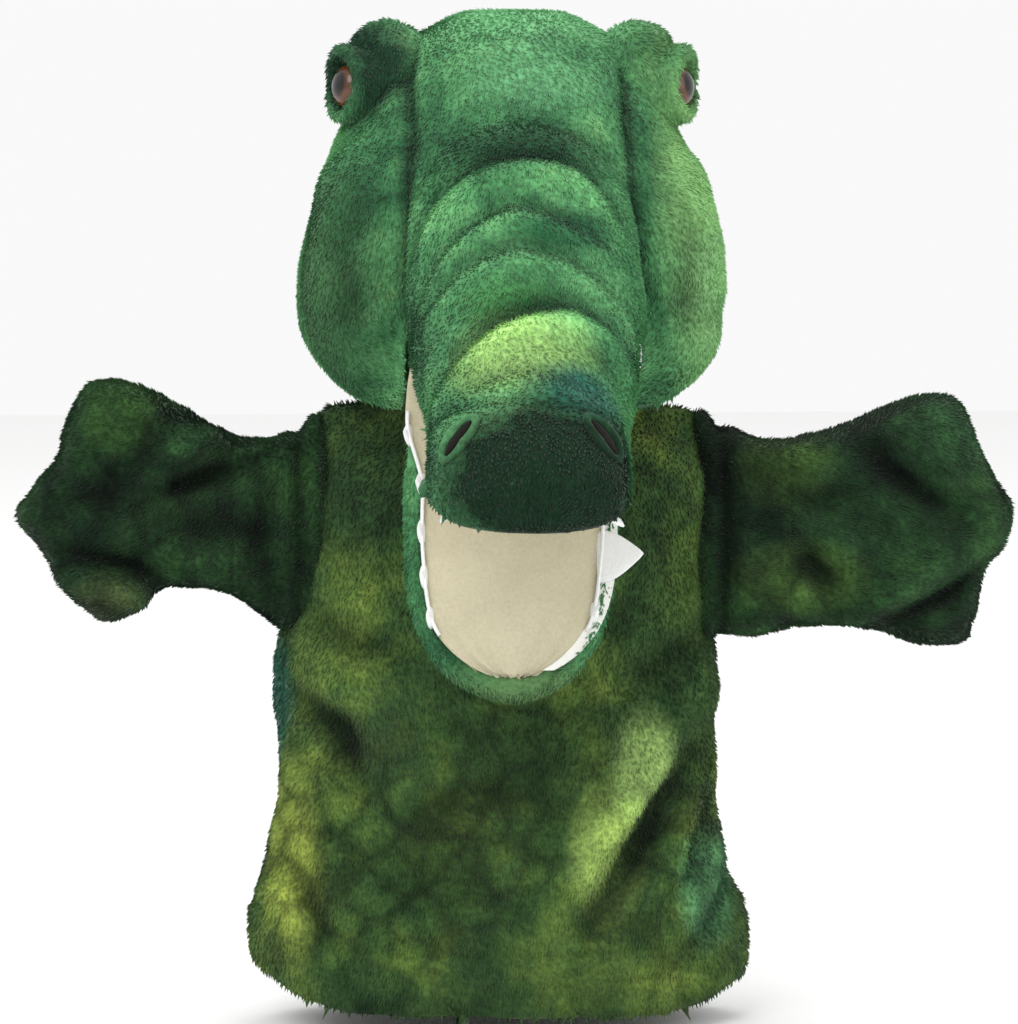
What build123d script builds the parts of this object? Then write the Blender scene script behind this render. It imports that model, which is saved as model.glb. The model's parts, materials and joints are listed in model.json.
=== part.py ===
from build123d import *
import os
from math import cos, radians, sin, sqrt

# A plush crocodile glove puppet with a moving mouth, as an assembly of separate pieces.
# Units are millimetres. +Z is up, the puppet faces -Y, and the origin is the middle of the
# sleeve's opening at the hem, where the hand goes in. "Forward" below means towards -Y.

# ---- cloth, boards and ease --------------------------------------------------------------
plush = 4.0  # pile cloth with its knitted backing
lining = 1.0  # plain lining cloth
board = 2.0  # foam board that stiffens each side of the mouth
felt = 1.5  # felt of the teeth
padding = 3.0  # least wadding between the cloth and a finger pocket
ease = 0.3  # air between two layers that are sewn together
swing_gap = 3.0  # air beside pieces that move past each other

# ---- torso: the glove's sleeve -----------------------------------------------------------
torso_height = 168.0
hem_width, hem_depth = 142.0, 66.0
waist_width, waist_depth, waist_level = 124.0, 62.0, 82.0
chest_width, chest_depth, chest_level = 119.0, 57.0, 126.0
shoulder_width, shoulder_depth, shoulder_line = 105.0, 55.0, 154.0
hem_turn = 18.0  # height of the hem's turned-in facing
label_width, label_height, label_thickness = 13.0, 24.0, 0.6
label_level = 4.0

# ---- neck collar -------------------------------------------------------------------------
neck_width, neck_depth, neck_height = 78.0, 52.0, 34.0
neck_taper = 2.5  # how much narrower its top is, on each side
gusset_width, gusset_height = 54.0, 15.0

# ---- head --------------------------------------------------------------------------------
head_width, head_depth, head_height = 117.0, 98.0, 112.0
head_forward = 4.0
nape_rise = 24.0  # the head's lower edge is this much higher at the nape than at the throat
crown_width = 60.0  # the middle strip of the skull, between the cheeks
nape_seam = 22.0  # how far behind the origin the nape's seam runs
stuffing_height = 26.0  # wadding under the crown
# share of the height, share of the width, share of the depth, from the neck to the crown
head_profile = [
    (0.00, 0.86, 0.84),
    (0.15, 0.96, 0.94),
    (0.33, 1.00, 1.00),
    (0.60, 0.89, 0.94),
    (0.80, 0.67, 0.78),
    (0.93, 0.48, 0.56),
    (1.00, 0.24, 0.26),
]

# ---- mouth: both jaws turn about a fold that lies across the head ------------------------
fold_forward = 52.0
fold_rise = 22.0  # above the top of the torso
fold_radius = 2.0
palate_drop = 28.0  # degrees below level, of the palate
jaw_drop = 72.0  # degrees below level, of the lower jaw at rest
jaw_set_back = 2.0  # the mouth's floor lies this far under the fold
mouth_start = 6.0  # the boards and linings start this far from the fold

# distance from the fold, half width, height over the palate
snout_profile = [
    (-30.0, 35.0, 48.0),
    (0.0, 32.5, 43.0),
    (32.0, 28.5, 32.0),
    (58.0, 25.5, 25.0),
    (76.0, 26.0, 24.0),
    (88.0, 19.0, 16.0),
    (93.0, 9.0, 8.0),
]
# distance from the fold, half width, depth under the mouth's floor
jaw_profile = [
    (6.0, 26.0, 17.0),
    (34.0, 28.5, 25.0),
    (60.0, 28.0, 23.0),
    (80.0, 23.0, 16.0),
    (92.0, 11.0, 8.0),
]
finger_pocket_length = 58.0
thumb_pocket_length = 56.0

# ---- teeth -------------------------------------------------------------------------------
tooth_base, tooth_height, tooth_round = 9.0, 8.0, 1.0
tooth_pitch = 13.5
upper_tooth_count, lower_tooth_count = 3, 4
tooth_strip = 2.5  # height of the strip that joins them
lower_tooth_start = 36.0  # distance of the first tooth from the fold
upper_tooth_start = lower_tooth_start + tooth_pitch / 2
tooth_splay = 20.0  # degrees that the lower teeth lean outwards

# ---- brows, eyes and nostrils ------------------------------------------------------------
brow_radius, brow_apart, brow_forward = 13.0, 71.0, 12.0
brow_level = 22.0  # below the top of the head
eye_radius, eye_height = 6.5, 4.5
eye_sink = 2.5  # how deep its rim sits in the pile
eye_turn = 25.0  # degrees forward from the side
eye_lift = 8.0  # degrees up from level
shank_radius, shank_end = 1.6, 1.0  # the shank ends this far past its washer
washer_radius, washer_thickness = 5.0, 1.2
washer_fit = 0.05  # clearance of the washer's bore round the shank
nostril_radius, nostril_depth = 4.2, 1.6
nostril_distance = 78.0  # from the fold
nostril_turn = 42.0  # degrees up from the side of the nose

# ---- arms and hands, measured from the shoulder joint ------------------------------------
shoulder_apart, shoulder_level = 140.0, 138.0
arm_thickness, arm_edge = 28.0, 5.0
root_inset, root_length, root_height = 6.0, 15.0, 27.0  # the rounded end at the armhole
wrist_reach, wrist_top, wrist_bottom = 29.0, 21.0, -19.0
upper_finger, middle_finger, lower_finger = (47.0, 46.0), (72.0, 2.0), (50.0, -34.0)
upper_web, lower_web = (58.0, 21.0), (58.0, -16.0)
finger_round = 6.0
gather_radius, gather_length = 3.0, 1.4
gather_gap = 4.0  # between the gather and the arm's root, which swings past it

# ---- places that follow from the sizes ---------------------------------------------------
head_top = torso_height + head_height
fold = Vector(0, -fold_forward, torso_height + fold_rise)
torso_profile = [
    (0, hem_width, hem_depth),
    (waist_level, waist_width, waist_depth),
    (chest_level, chest_width, chest_depth),
    (shoulder_line, shoulder_width, shoulder_depth),
    (torso_height, neck_width, neck_depth),
]
snout_length, jaw_length = snout_profile[-1][0], jaw_profile[-1][0]
mouth_slot = max(half_width for _, half_width, _ in jaw_profile) + swing_gap
under_plush = plush + ease
pocket_inset = under_plush + padding + ease
washer_top = sqrt((brow_radius - under_plush) ** 2 - washer_radius**2) - brow_radius + eye_sink
dome_radius = (eye_radius**2 + eye_height**2) / (2 * eye_height)
shank_length = washer_thickness + shank_end - washer_top
sides = {"left": -1, "right": 1}
far = 4 * head_top  # past everything


def save(built, name):
    built.part.label = name
    export_step(built.part, f"parts/{name}.step")


# ---- forms that several pieces share: each is a solid, drawn in by inset -----------------
def torso_form(inset, low=0.0, high=torso_height):
    with BuildPart() as form:
        for level, width, depth in torso_profile:
            with BuildSketch(Plane.XY.offset(level)):
                Ellipse(width / 2 - inset, depth / 2 - inset)
        loft()
        with Locations((0, 0, (low + high) / 2)):
            Box(far, far, high - low, mode=Mode.INTERSECT)
    return form.part


def neck_form(inset):
    """The collar starts just clear of the torso."""
    with BuildPart() as form:
        for rise, taper in ((ease, 0), (neck_height, neck_taper)):
            with BuildSketch(Plane.XY.offset(torso_height + rise)):
                Ellipse(neck_width / 2 - taper - inset, neck_depth / 2 - taper - inset)
        loft()
    return form.part


def skull_form(inset):
    with BuildPart() as form:
        for height_share, width_share, depth_share in head_profile:
            level = torso_height + height_share * (head_height - max(inset, 0))
            half_width = head_width * width_share / 2 - inset
            half_depth = head_depth * depth_share / 2 - inset
            with BuildSketch(Plane.XY.offset(level)):
                with Locations((0, -head_forward)):
                    Ellipse(half_width, half_depth)
        loft()
    return form.part


def mouth_plane(drop, distance, rise=0.0):
    """A plane across a jaw: x runs across the mouth, y squarely up from the jaw's own line."""
    along = Vector(0, -cos(radians(drop)), -sin(radians(drop)))
    up = Vector(0, -sin(radians(drop)), cos(radians(drop)))
    return Plane(origin=fold + along * distance + up * rise, x_dir=(1, 0, 0), z_dir=along)


def jaw_loft(profile, drop, inset, rise, start_angle):
    """Half-round sections along a jaw, flat on the mouth's side. Any too small is left out."""
    tip = profile[-1][0]
    with BuildPart() as form:
        for distance, half_width, height in profile:
            reach = distance if distance <= 0 else distance * (1 - inset / tip)
            wide, high = half_width - inset, height - inset
            if min(wide, high) < ease:
                continue
            with BuildSketch(mouth_plane(drop, reach, rise)):
                with BuildLine():
                    EllipticalCenterArc((0, 0), wide, high, start_angle, arc_size=180)
                    Line((-wide, 0), (wide, 0))
                make_face()
        loft()
    return form.part


def snout_form(inset):
    return jaw_loft(snout_profile, palate_drop, inset, 0, 0)


def jaw_form(inset):
    return jaw_loft(jaw_profile, jaw_drop, inset, -jaw_set_back, 180)


def slab(drop, one_level, other_level, start, end, half_width=far):
    """A block in a jaw's own frame, between two heights and two distances from the fold."""
    with BuildPart() as block:
        with BuildSketch(mouth_plane(drop, start)):
            with Locations((0, (one_level + other_level) / 2)):
                Rectangle(2 * half_width, abs(other_level - one_level))
        extrude(amount=end - start)
    return block.part


# ---- torso -------------------------------------------------------------------------------
def half_tube(name, outer, inner, low, high, facing):
    """Half of a tube between two insets of the torso's form. facing is -1 for the front."""
    with BuildPart() as half:
        add(torso_form(outer, low, high))
        add(torso_form(inner, low, high), mode=Mode.SUBTRACT)
        with Locations((0, facing * far / 2, 0)):
            Box(far, far, far, mode=Mode.INTERSECT)
    save(half, name)


def make_torso():
    deep = under_plush + plush
    for face, facing in (("front", -1), ("back", 1)):
        lining_low = hem_turn + ease
        half_tube(f"{face}_panel", 0, plush, 0, torso_height, facing)
        half_tube(f"{face}_hem_facing", under_plush, deep, 0, hem_turn, facing)
        half_tube(
            f"{face}_lining", under_plush, under_plush + lining, lining_low, torso_height, facing
        )
    with BuildPart() as care_label:
        wall = waist_depth / 2 - deep
        with Locations((0, wall - label_thickness / 2, label_level + label_height / 2)):
            Box(label_width, label_thickness, label_height)
    save(care_label, "care_label")


def make_neck():
    with BuildPart() as neck_collar:
        add(neck_form(0))
        add(neck_form(plush), mode=Mode.SUBTRACT)
    save(neck_collar, "neck_collar")
    with BuildPart() as neck_lining:
        add(neck_form(under_plush))
        add(neck_form(under_plush + lining), mode=Mode.SUBTRACT)
    save(neck_lining, "neck_lining")
    with BuildPart() as throat_gusset:
        with BuildSketch(Plane.XY.offset(torso_height + 2 * ease)):
            Ellipse(neck_width / 2 + ease + plush, neck_depth / 2 + ease + plush)
            Ellipse(neck_width / 2 + ease, neck_depth / 2 + ease, mode=Mode.SUBTRACT)
            with Locations((0, -neck_depth)):
                Rectangle(gusset_width, 2 * neck_depth, mode=Mode.INTERSECT)
        extrude(amount=gusset_height)
    save(throat_gusset, "throat_gusset")


# ---- head --------------------------------------------------------------------------------
def nostril_place(side):
    """The plane of one nostril's patch, sunk into the side of the nose."""
    _, half_width, height = snout_profile[-3]
    across = mouth_plane(palate_drop, nostril_distance)
    aside, up = side * cos(radians(nostril_turn)), sin(radians(nostril_turn))
    outward = across.x_dir * aside + across.y_dir * up
    on_nose = across.x_dir * (half_width * aside) + across.y_dir * (height * up)
    return Plane(origin=across.origin + on_nose - outward * nostril_depth, z_dir=outward)


def head_shell():
    """The head's outer cloth in one shell: skull and snout, open at the neck and the mouth."""
    throat = (0, -head_depth / 2, torso_height)
    edge = Plane(origin=throat, x_dir=(1, 0, 0), z_dir=(0, -nape_rise, head_depth))
    with BuildPart() as shell:
        add(skull_form(0))
        add(snout_form(0))
        add(skull_form(plush), mode=Mode.SUBTRACT)
        add(snout_form(plush), mode=Mode.SUBTRACT)
        add(
            slab(palate_drop, -far, 0, snout_profile[0][0], far, mouth_slot),
            mode=Mode.SUBTRACT,
        )
        split(bisect_by=edge, keep=Keep.TOP)
        for side in sides.values():
            with BuildSketch(nostril_place(side)):
                Circle(nostril_radius + ease)
            extrude(amount=2 * nostril_depth, mode=Mode.SUBTRACT)
    return shell.part


def crown_block():
    """Seen from above, the middle strip is narrow on the skull and wider round the snout."""
    skull, snout = crown_width / 2, snout_profile[1][1] + plush
    front = -(head_forward + head_depth / 2)
    with BuildPart() as block:
        with BuildSketch(Plane.XY):
            with BuildLine():
                Polyline(
                    (-skull, nape_seam),
                    (-skull, front + 2 * plush),
                    (-snout, front),
                    (-snout, -far),
                    (snout, -far),
                    (snout, front),
                    (skull, front + 2 * plush),
                    (skull, nape_seam),
                    close=True,
                )
            make_face()
        extrude(amount=far)
    return block.part


def make_head_panels():
    shell = head_shell()
    strip = crown_block()
    with BuildPart() as crown_panel:
        add(shell)
        add(strip, mode=Mode.INTERSECT)
    save(crown_panel, "crown_panel")
    with BuildPart() as nape_panel:
        add(shell)
        with Locations((0, nape_seam + far / 2, 0)):
            Box(far, far, far, mode=Mode.INTERSECT)
    save(nape_panel, "nape_panel")
    for name, side in sides.items():
        with BuildPart() as cheek_panel:
            add(shell)
            add(strip, mode=Mode.SUBTRACT)
            with Locations((side * far / 2, nape_seam - far / 2, 0)):
                Box(far, far, far, mode=Mode.INTERSECT)
        save(cheek_panel, f"cheek_panel_{name}")


def make_head_filling():
    level = head_top - under_plush - stuffing_height
    with BuildPart() as crown_wadding:
        add(skull_form(under_plush))
        with Locations((0, 0, level + far / 2)):
            Box(far, far, far, mode=Mode.INTERSECT)
    save(crown_wadding, "crown_wadding")
    with BuildPart() as head_lining:
        add(skull_form(under_plush))
        with Locations((0, 0, level - ease - lining / 2)):
            Box(far, far, lining, mode=Mode.INTERSECT)
    save(head_lining, "head_lining")


def brow_centre(side):
    return Vector(side * brow_apart / 2, -brow_forward, head_top - brow_level)


def eye_plane(side):
    """The eye's rim lies in this plane, which faces outwards."""
    turn, lift = radians(eye_turn), radians(eye_lift)
    outward = Vector(side * cos(turn) * cos(lift), -sin(turn) * cos(lift), sin(lift))
    return Plane(origin=brow_centre(side) + outward * (brow_radius - eye_sink), z_dir=outward)


def make_brows():
    skull = skull_form(-ease)
    for name, side in sides.items():
        rim = eye_plane(side)
        with BuildPart() as brow_panel:
            with Locations(brow_centre(side)):
                Sphere(brow_radius)
                Sphere(brow_radius - plush, mode=Mode.SUBTRACT)
            add(skull, mode=Mode.SUBTRACT)
            with BuildSketch(rim):
                Circle(eye_radius + ease)
            extrude(amount=brow_radius, mode=Mode.SUBTRACT)
            with BuildSketch(rim):
                Circle(shank_radius + washer_fit)
            extrude(amount=-plush, mode=Mode.SUBTRACT)
        save(brow_panel, f"brow_panel_{name}")
        with BuildPart() as brow_wadding:
            with Locations(brow_centre(side)):
                Sphere(brow_radius - under_plush)
            add(skull, mode=Mode.SUBTRACT)
            with BuildSketch(rim):
                Circle(washer_radius + ease)
            extrude(amount=-(shank_length + ease), mode=Mode.SUBTRACT)
        save(brow_wadding, f"brow_wadding_{name}")


def make_eyes():
    """A safety eye: a dome with a shank through the cloth, and a washer pushed onto it."""
    for name, side in sides.items():
        rim = eye_plane(side)
        with BuildPart() as eye:
            with Locations(rim.offset(eye_height - dome_radius)):
                Sphere(dome_radius)
            split(bisect_by=rim, keep=Keep.TOP)
            with BuildSketch(rim.offset(-shank_length)):
                Circle(shank_radius)
            extrude(amount=shank_length)
        save(eye, f"eye_{name}")
        with BuildPart() as eye_washer:
            with BuildSketch(rim.offset(washer_top - washer_thickness)):
                Circle(washer_radius)
                Circle(shank_radius + washer_fit, mode=Mode.SUBTRACT)
            extrude(amount=washer_thickness)
        save(eye_washer, f"eye_washer_{name}")


def make_nostrils():
    for name, side in sides.items():
        with BuildPart() as nostril:
            with BuildSketch(nostril_place(side)):
                Circle(nostril_radius)
            extrude(amount=nostril_depth)
        save(nostril, f"nostril_{name}")


# ---- mouth -------------------------------------------------------------------------------
def make_jaw_layers(form, drop, floor, up, length, pocket_length, names):
    """The layers on one side of the mouth. floor is its surface, up is 1 or -1 for inwards."""
    lining_name, board_name, pocket_name, wadding_name = names
    board_base = lining + ease
    pocket_base = board_base + board + ease
    pocket_end = mouth_start + pocket_length
    deep = floor + up * far
    with BuildPart() as cloth:
        add(form(under_plush))
        add(slab(drop, floor, floor + up * lining, mouth_start, length), mode=Mode.INTERSECT)
    save(cloth, lining_name)
    low, high = floor + up * board_base, floor + up * (board_base + board)
    with BuildPart() as stiffener:
        add(form(under_plush + ease))
        add(slab(drop, low, high, mouth_start, length), mode=Mode.INTERSECT)
    save(stiffener, board_name)
    low = floor + up * pocket_base
    with BuildPart() as finger_room:
        add(form(pocket_inset + lining))
        add(slab(drop, low + up * lining, deep, 0, pocket_end - lining), mode=Mode.INTERSECT)
    with BuildPart() as pocket:
        add(form(pocket_inset))
        add(slab(drop, low, deep, mouth_start, pocket_end), mode=Mode.INTERSECT)
        add(finger_room.part, mode=Mode.SUBTRACT)
    save(pocket, pocket_name)
    with BuildPart() as pocket_room:
        add(form(pocket_inset - ease))
        add(slab(drop, floor, deep, 0, pocket_end + ease), mode=Mode.INTERSECT)
    with BuildPart() as wadding:
        add(form(under_plush))
        add(slab(drop, low, deep, mouth_start, length), mode=Mode.INTERSECT)
        add(pocket_room.part, mode=Mode.SUBTRACT)
    save(wadding, wadding_name)


def width_at(profile, distance):
    """A jaw's half width at a distance from the fold, between its sections."""
    for (near, near_width, _), (end, end_width, _) in zip(profile, profile[1:]):
        if near <= distance <= end:
            share = (distance - near) / (end - near)
            return near_width + share * (end_width - near_width)
    return profile[-1][1]


def make_teeth(name, side, profile, drop, start, count, base, up, splay):
    """A felt strip with a row of teeth, along one side of a jaw."""
    run = tooth_pitch * (count - 1) + tooth_base
    begin = start - tooth_base / 2
    inset = under_plush + felt
    near = width_at(profile, begin) - inset
    end = min(near, width_at(profile, begin + run) - inset)
    frame = mouth_plane(drop, begin)
    along = (frame.z_dir * run + frame.x_dir * (side * (end - near))).normalized()
    lean = radians(splay)
    rise = frame.y_dir * (up * cos(lean)) + frame.x_dir * (side * sin(lean))
    corner = frame.origin + frame.x_dir * (side * near) + frame.y_dir * base
    face = Plane(origin=corner, x_dir=along, z_dir=along.cross(rise))
    with BuildPart() as teeth:
        with BuildSketch(face):
            with Locations((run / 2, tooth_strip / 2)):
                Rectangle(run, tooth_strip)
            for number in range(count):
                left = number * tooth_pitch
                with BuildLine():
                    Polyline(
                        (left, tooth_strip / 2),
                        (left + tooth_base, tooth_strip / 2),
                        (left + tooth_base / 2, tooth_height),
                        close=True,
                    )
                make_face()
        extrude(amount=felt / 2, both=True)
        up_face = face.y_dir
        tips = [
            edge
            for edge in teeth.edges()
            if (edge.center() - face.origin).dot(up_face) > tooth_height - ease
        ]
        fillet(tips, radius=tooth_round)
    save(teeth, name)


def make_mouth():
    make_jaw_layers(
        snout_form,
        palate_drop,
        0,
        1,
        snout_length,
        finger_pocket_length,
        ("palate_lining", "palate_board", "finger_pocket", "snout_wadding"),
    )
    make_jaw_layers(
        jaw_form,
        jaw_drop,
        -jaw_set_back,
        -1,
        jaw_length,
        thumb_pocket_length,
        ("mouth_floor_lining", "jaw_board", "thumb_pocket", "chin_wadding"),
    )
    with BuildPart() as chin_panel:
        add(jaw_form(0))
        add(jaw_form(plush), mode=Mode.SUBTRACT)
    save(chin_panel, "chin_panel")
    with BuildPart() as mouth_fold:
        with BuildSketch(Plane.YZ):
            with Locations((fold.Y, fold.Z)):
                Circle(fold_radius)
        extrude(amount=jaw_profile[0][1] - under_plush, both=True)
    save(mouth_fold, "mouth_fold")
    upper = (snout_profile, palate_drop, upper_tooth_start, upper_tooth_count, -ease, -1, 0)
    lower_base = ease + felt / 2 * sin(radians(tooth_splay)) - jaw_set_back
    lower = (
        jaw_profile, jaw_drop, lower_tooth_start, lower_tooth_count, lower_base, 1, tooth_splay
    )
    for name, side in sides.items():
        make_teeth(f"upper_teeth_{name}", side, *upper)
        make_teeth(f"lower_teeth_{name}", side, *lower)


# ---- arms --------------------------------------------------------------------------------
def arm_form(inset):
    """The right arm and its three-fingered hand, flat on both faces."""
    joint = Plane(
        origin=(shoulder_apart / 2, 0, shoulder_level), x_dir=(1, 0, 0), z_dir=(0, -1, 0)
    )
    root = root_length - root_inset
    tips = [Vector(*tip) for tip in (upper_finger, middle_finger, lower_finger)]
    with BuildPart() as form:
        with BuildSketch(joint) as outline:
            with BuildLine():
                Polyline(
                    (root, root_height),
                    (wrist_reach, wrist_top),
                    upper_finger,
                    upper_web,
                    middle_finger,
                    lower_web,
                    lower_finger,
                    (wrist_reach, wrist_bottom),
                    (root, -root_height),
                )
                ThreePointArc((root, root_height), (-root_inset, 0), (root, -root_height))
            make_face()
            corners = [
                corner
                for corner in outline.vertices()
                if min((Vector(corner.X, corner.Y) - tip).length for tip in tips) < ease
            ]
            fillet(corners, radius=finger_round)
            if inset:
                offset(amount=-inset, mode=Mode.REPLACE)
        extrude(amount=arm_thickness / 2 - inset, both=True)
    return form.part


def make_arms():
    outer, inner, core = arm_form(0), arm_form(plush), arm_form(under_plush)
    for name, side in sides.items():
        for face, facing in (("front", -1), ("back", 1)):
            with BuildPart() as arm_panel:
                add(outer)
                chamfer(arm_panel.faces().filter_by(Axis.Y).edges(), length=arm_edge)
                add(inner, mode=Mode.SUBTRACT)
                with Locations((0, facing * far / 2, 0)):
                    Box(far, far, far, mode=Mode.INTERSECT)
                if side < 0:
                    mirror(about=Plane.YZ, mode=Mode.REPLACE)
            save(arm_panel, f"arm_{face}_panel_{name}")
        with BuildPart() as arm_wadding:
            add(core)
            if side < 0:
                mirror(about=Plane.YZ, mode=Mode.REPLACE)
        save(arm_wadding, f"arm_wadding_{name}")
        with BuildPart() as shoulder_gather:
            inside = shoulder_apart / 2 - root_inset - gather_gap - gather_length
            with BuildSketch(Plane.YZ.offset(side * inside)):
                with Locations((0, shoulder_level)):
                    Circle(gather_radius)
            extrude(amount=side * gather_length)
        save(shoulder_gather, f"shoulder_gather_{name}")


os.makedirs("parts", exist_ok=True)
make_torso()
make_neck()
make_head_panels()
make_head_filling()
make_brows()
make_eyes()
make_nostrils()
make_mouth()
make_arms()
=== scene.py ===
import bmesh
import bpy
import json
import math
import numpy as np
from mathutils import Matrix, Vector, noise


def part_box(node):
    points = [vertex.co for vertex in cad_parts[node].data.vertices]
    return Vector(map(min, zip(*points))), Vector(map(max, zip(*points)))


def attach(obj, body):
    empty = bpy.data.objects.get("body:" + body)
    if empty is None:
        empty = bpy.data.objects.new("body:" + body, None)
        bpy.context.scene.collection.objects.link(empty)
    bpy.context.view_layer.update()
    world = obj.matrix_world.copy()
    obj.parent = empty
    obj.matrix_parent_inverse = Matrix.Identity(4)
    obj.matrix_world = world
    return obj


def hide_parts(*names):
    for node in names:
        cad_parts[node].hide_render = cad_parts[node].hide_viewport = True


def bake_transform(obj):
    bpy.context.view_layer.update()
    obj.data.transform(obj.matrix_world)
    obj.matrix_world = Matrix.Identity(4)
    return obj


# A plush crocodile glove puppet. Shapes are worked out in millimetres and stored in metres.
# +Z is up and the puppet faces -Y.

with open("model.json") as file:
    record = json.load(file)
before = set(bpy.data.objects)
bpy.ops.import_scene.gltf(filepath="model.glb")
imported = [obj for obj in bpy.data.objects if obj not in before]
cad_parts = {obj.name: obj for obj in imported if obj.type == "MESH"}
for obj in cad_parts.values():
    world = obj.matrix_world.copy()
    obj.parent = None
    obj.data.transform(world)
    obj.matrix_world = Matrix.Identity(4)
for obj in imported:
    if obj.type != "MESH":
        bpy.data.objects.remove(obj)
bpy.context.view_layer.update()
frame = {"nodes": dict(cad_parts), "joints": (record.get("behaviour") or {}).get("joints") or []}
jointAt = {joint["name"]: 1000 * np.array(joint["pos_m"]) for joint in frame["joints"]}
fold = jointAt["jaw_open"]  # the middle of the mouth's fold
sides = {"left": -1, "right": 1}
print("frame:", len(frame["nodes"]), "nodes")


def boxOf(node):
    low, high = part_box(node)
    return 1000 * np.array(low), 1000 * np.array(high)


def unit(vector):
    vector = np.asarray(vector, float)
    return vector / np.linalg.norm(vector)


hemLow, torsoHigh = boxOf("front_panel")
torsoTop, hemHalf = torsoHigh[2], torsoHigh[0]
neckHigh = boxOf("neck_collar")[1]
headTop = boxOf("crown_panel")[1][2]


# ---- surfaces as arrays of points and triangles ----
def flowing(stops, at):
    # a smooth curve through stops (place, value, value, ...)
    stops = np.asarray(stops, float)
    x, y = stops[:, 0], stops[:, 1:]
    slope = np.diff(y, axis=0) / np.diff(x)[:, None]
    tangent = np.vstack([slope[:1], (slope[1:] + slope[:-1]) / 2, slope[-1:]])
    at = np.clip(np.atleast_1d(at), x[0], x[-1])
    i = np.clip(np.searchsorted(x, at) - 1, 0, len(x) - 2)
    h = (x[i + 1] - x[i])[:, None]
    t = ((at - x[i]) / (x[i + 1] - x[i]))[:, None]
    return ((2 * t**3 - 3 * t**2 + 1) * y[i] + (t**3 - 2 * t**2 + t) * h * tangent[i]
            + (3 * t**2 - 2 * t**3) * y[i + 1] + (t**3 - t**2) * h * tangent[i + 1])


def ring(centre, across, up, wide, high, low=None, square=2.0, count=72):
    # a closed section; low is its reach against up, where that differs from high
    turn = np.linspace(0, 2 * math.pi, count, endpoint=False)
    c, s = np.cos(turn), np.sin(turn)
    a = np.sign(c) * np.abs(c) ** (2 / square) * wide
    b = np.sign(s) * np.abs(s) ** (2 / square)
    b = np.where(b > 0, b * high, b * (high if low is None else low))
    return np.asarray(centre) + a[:, None] * np.asarray(across) + b[:, None] * np.asarray(up)


def lofted(rings):
    # a closed solid through sections, with a middle point at each end
    n = len(rings[0])
    points = np.vstack(rings + [rings[0].mean(0), rings[-1].mean(0)])
    faces = []
    for i in range(len(rings) - 1):
        for j in range(n):
            k = (j + 1) % n
            faces.append((i * n + j, i * n + k, (i + 1) * n + k, (i + 1) * n + j))
    first, last, end = n * len(rings), n * len(rings) + 1, n * (len(rings) - 1)
    faces += [(first, (j + 1) % n, j) for j in range(n)]
    faces += [(last, end + j, end + (j + 1) % n) for j in range(n)]
    return points, faces


def meshFrom(name, points, faces):
    mesh = bpy.data.meshes.new(name)
    mesh.from_pydata((np.asarray(points) / 1000).tolist(), [], [list(map(int, f)) for f in faces])
    mesh.update()
    return mesh


def arraysFrom(mesh):
    mesh.calc_loop_triangles()
    points = np.zeros(len(mesh.vertices) * 3)
    mesh.vertices.foreach_get("co", points)
    faces = np.zeros(len(mesh.loop_triangles) * 3, int)
    mesh.loop_triangles.foreach_get("vertices", faces)
    return points.reshape(-1, 3) * 1000, faces.reshape(-1, 3)


def evaluated(item):
    # the mesh of an object with its modifiers worked in, and the object removed
    graph = bpy.context.evaluated_depsgraph_get()
    mesh = bpy.data.meshes.new_from_object(item.evaluated_get(graph))
    bpy.data.objects.remove(item)
    return mesh


def outwards(mesh):
    work = bmesh.new()
    work.from_mesh(mesh)
    bmesh.ops.remove_doubles(work, verts=work.verts, dist=1e-6)
    bmesh.ops.recalc_face_normals(work, faces=work.faces)
    work.to_mesh(mesh)
    work.free()
    return mesh


def welded(name, solids, voxel, rounds=6):
    # overlapping closed solids joined into one even skin
    points, faces = [], []
    base = 0
    for solid, quads in solids:
        mesh = outwards(meshFrom(name, solid, quads))
        p, f = arraysFrom(mesh)
        points.append(p)
        faces.append(f + base)
        base += len(p)
    item = bpy.data.objects.new(name, meshFrom(name, np.vstack(points), np.vstack(faces)))
    bpy.context.scene.collection.objects.link(item)
    grid = item.modifiers.new("grid", "REMESH")
    grid.mode, grid.voxel_size = "VOXEL", voxel / 1000
    p, f = arraysFrom(evaluated(item))
    return smoothed(p, f, rounds), f


def edgesOf(faces):
    edges = np.sort(np.vstack([faces[:, [0, 1]], faces[:, [1, 2]], faces[:, [2, 0]]]), axis=1)
    return np.unique(edges, axis=0, return_counts=True)


def smoothed(points, faces, rounds, mask=None, keepVolume=True):
    edges, _ = edgesOf(faces)
    count = np.bincount(edges.ravel(), minlength=len(points)).clip(1)[:, None]
    points = points.copy()
    for step in range(rounds * (2 if keepVolume else 1)):
        total = np.zeros_like(points)
        np.add.at(total, edges[:, 0], points[edges[:, 1]])
        np.add.at(total, edges[:, 1], points[edges[:, 0]])
        share = 0.55 if not keepVolume or step % 2 == 0 else -0.53
        move = share * (total / count - points)
        points += move if mask is None else move * mask[:, None]
    return points


def normalsOf(points, faces):
    a, b, c = points[faces[:, 0]], points[faces[:, 1]], points[faces[:, 2]]
    face = np.cross(b - a, c - a)
    out = np.zeros_like(points)
    for k in range(3):
        np.add.at(out, faces[:, k], face)
    return out / np.linalg.norm(out, axis=1).clip(1e-12)[:, None]


def snapped(points, faces, field):
    # moves the nearer end of each crossed edge onto the line where field is 0
    edges, _ = edgesOf(faces)
    value = field(points)
    a, b = edges[:, 0], edges[:, 1]
    cross = value[a] * value[b] < 0
    a, b = a[cross], b[cross]
    share = np.abs(value[a]) / (np.abs(value[a]) + np.abs(value[b]))
    meet = points[a] + share[:, None] * (points[b] - points[a])
    near = np.where(share < 0.5, a, b)
    out = points.copy()
    out[near] = meet
    return out


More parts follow.
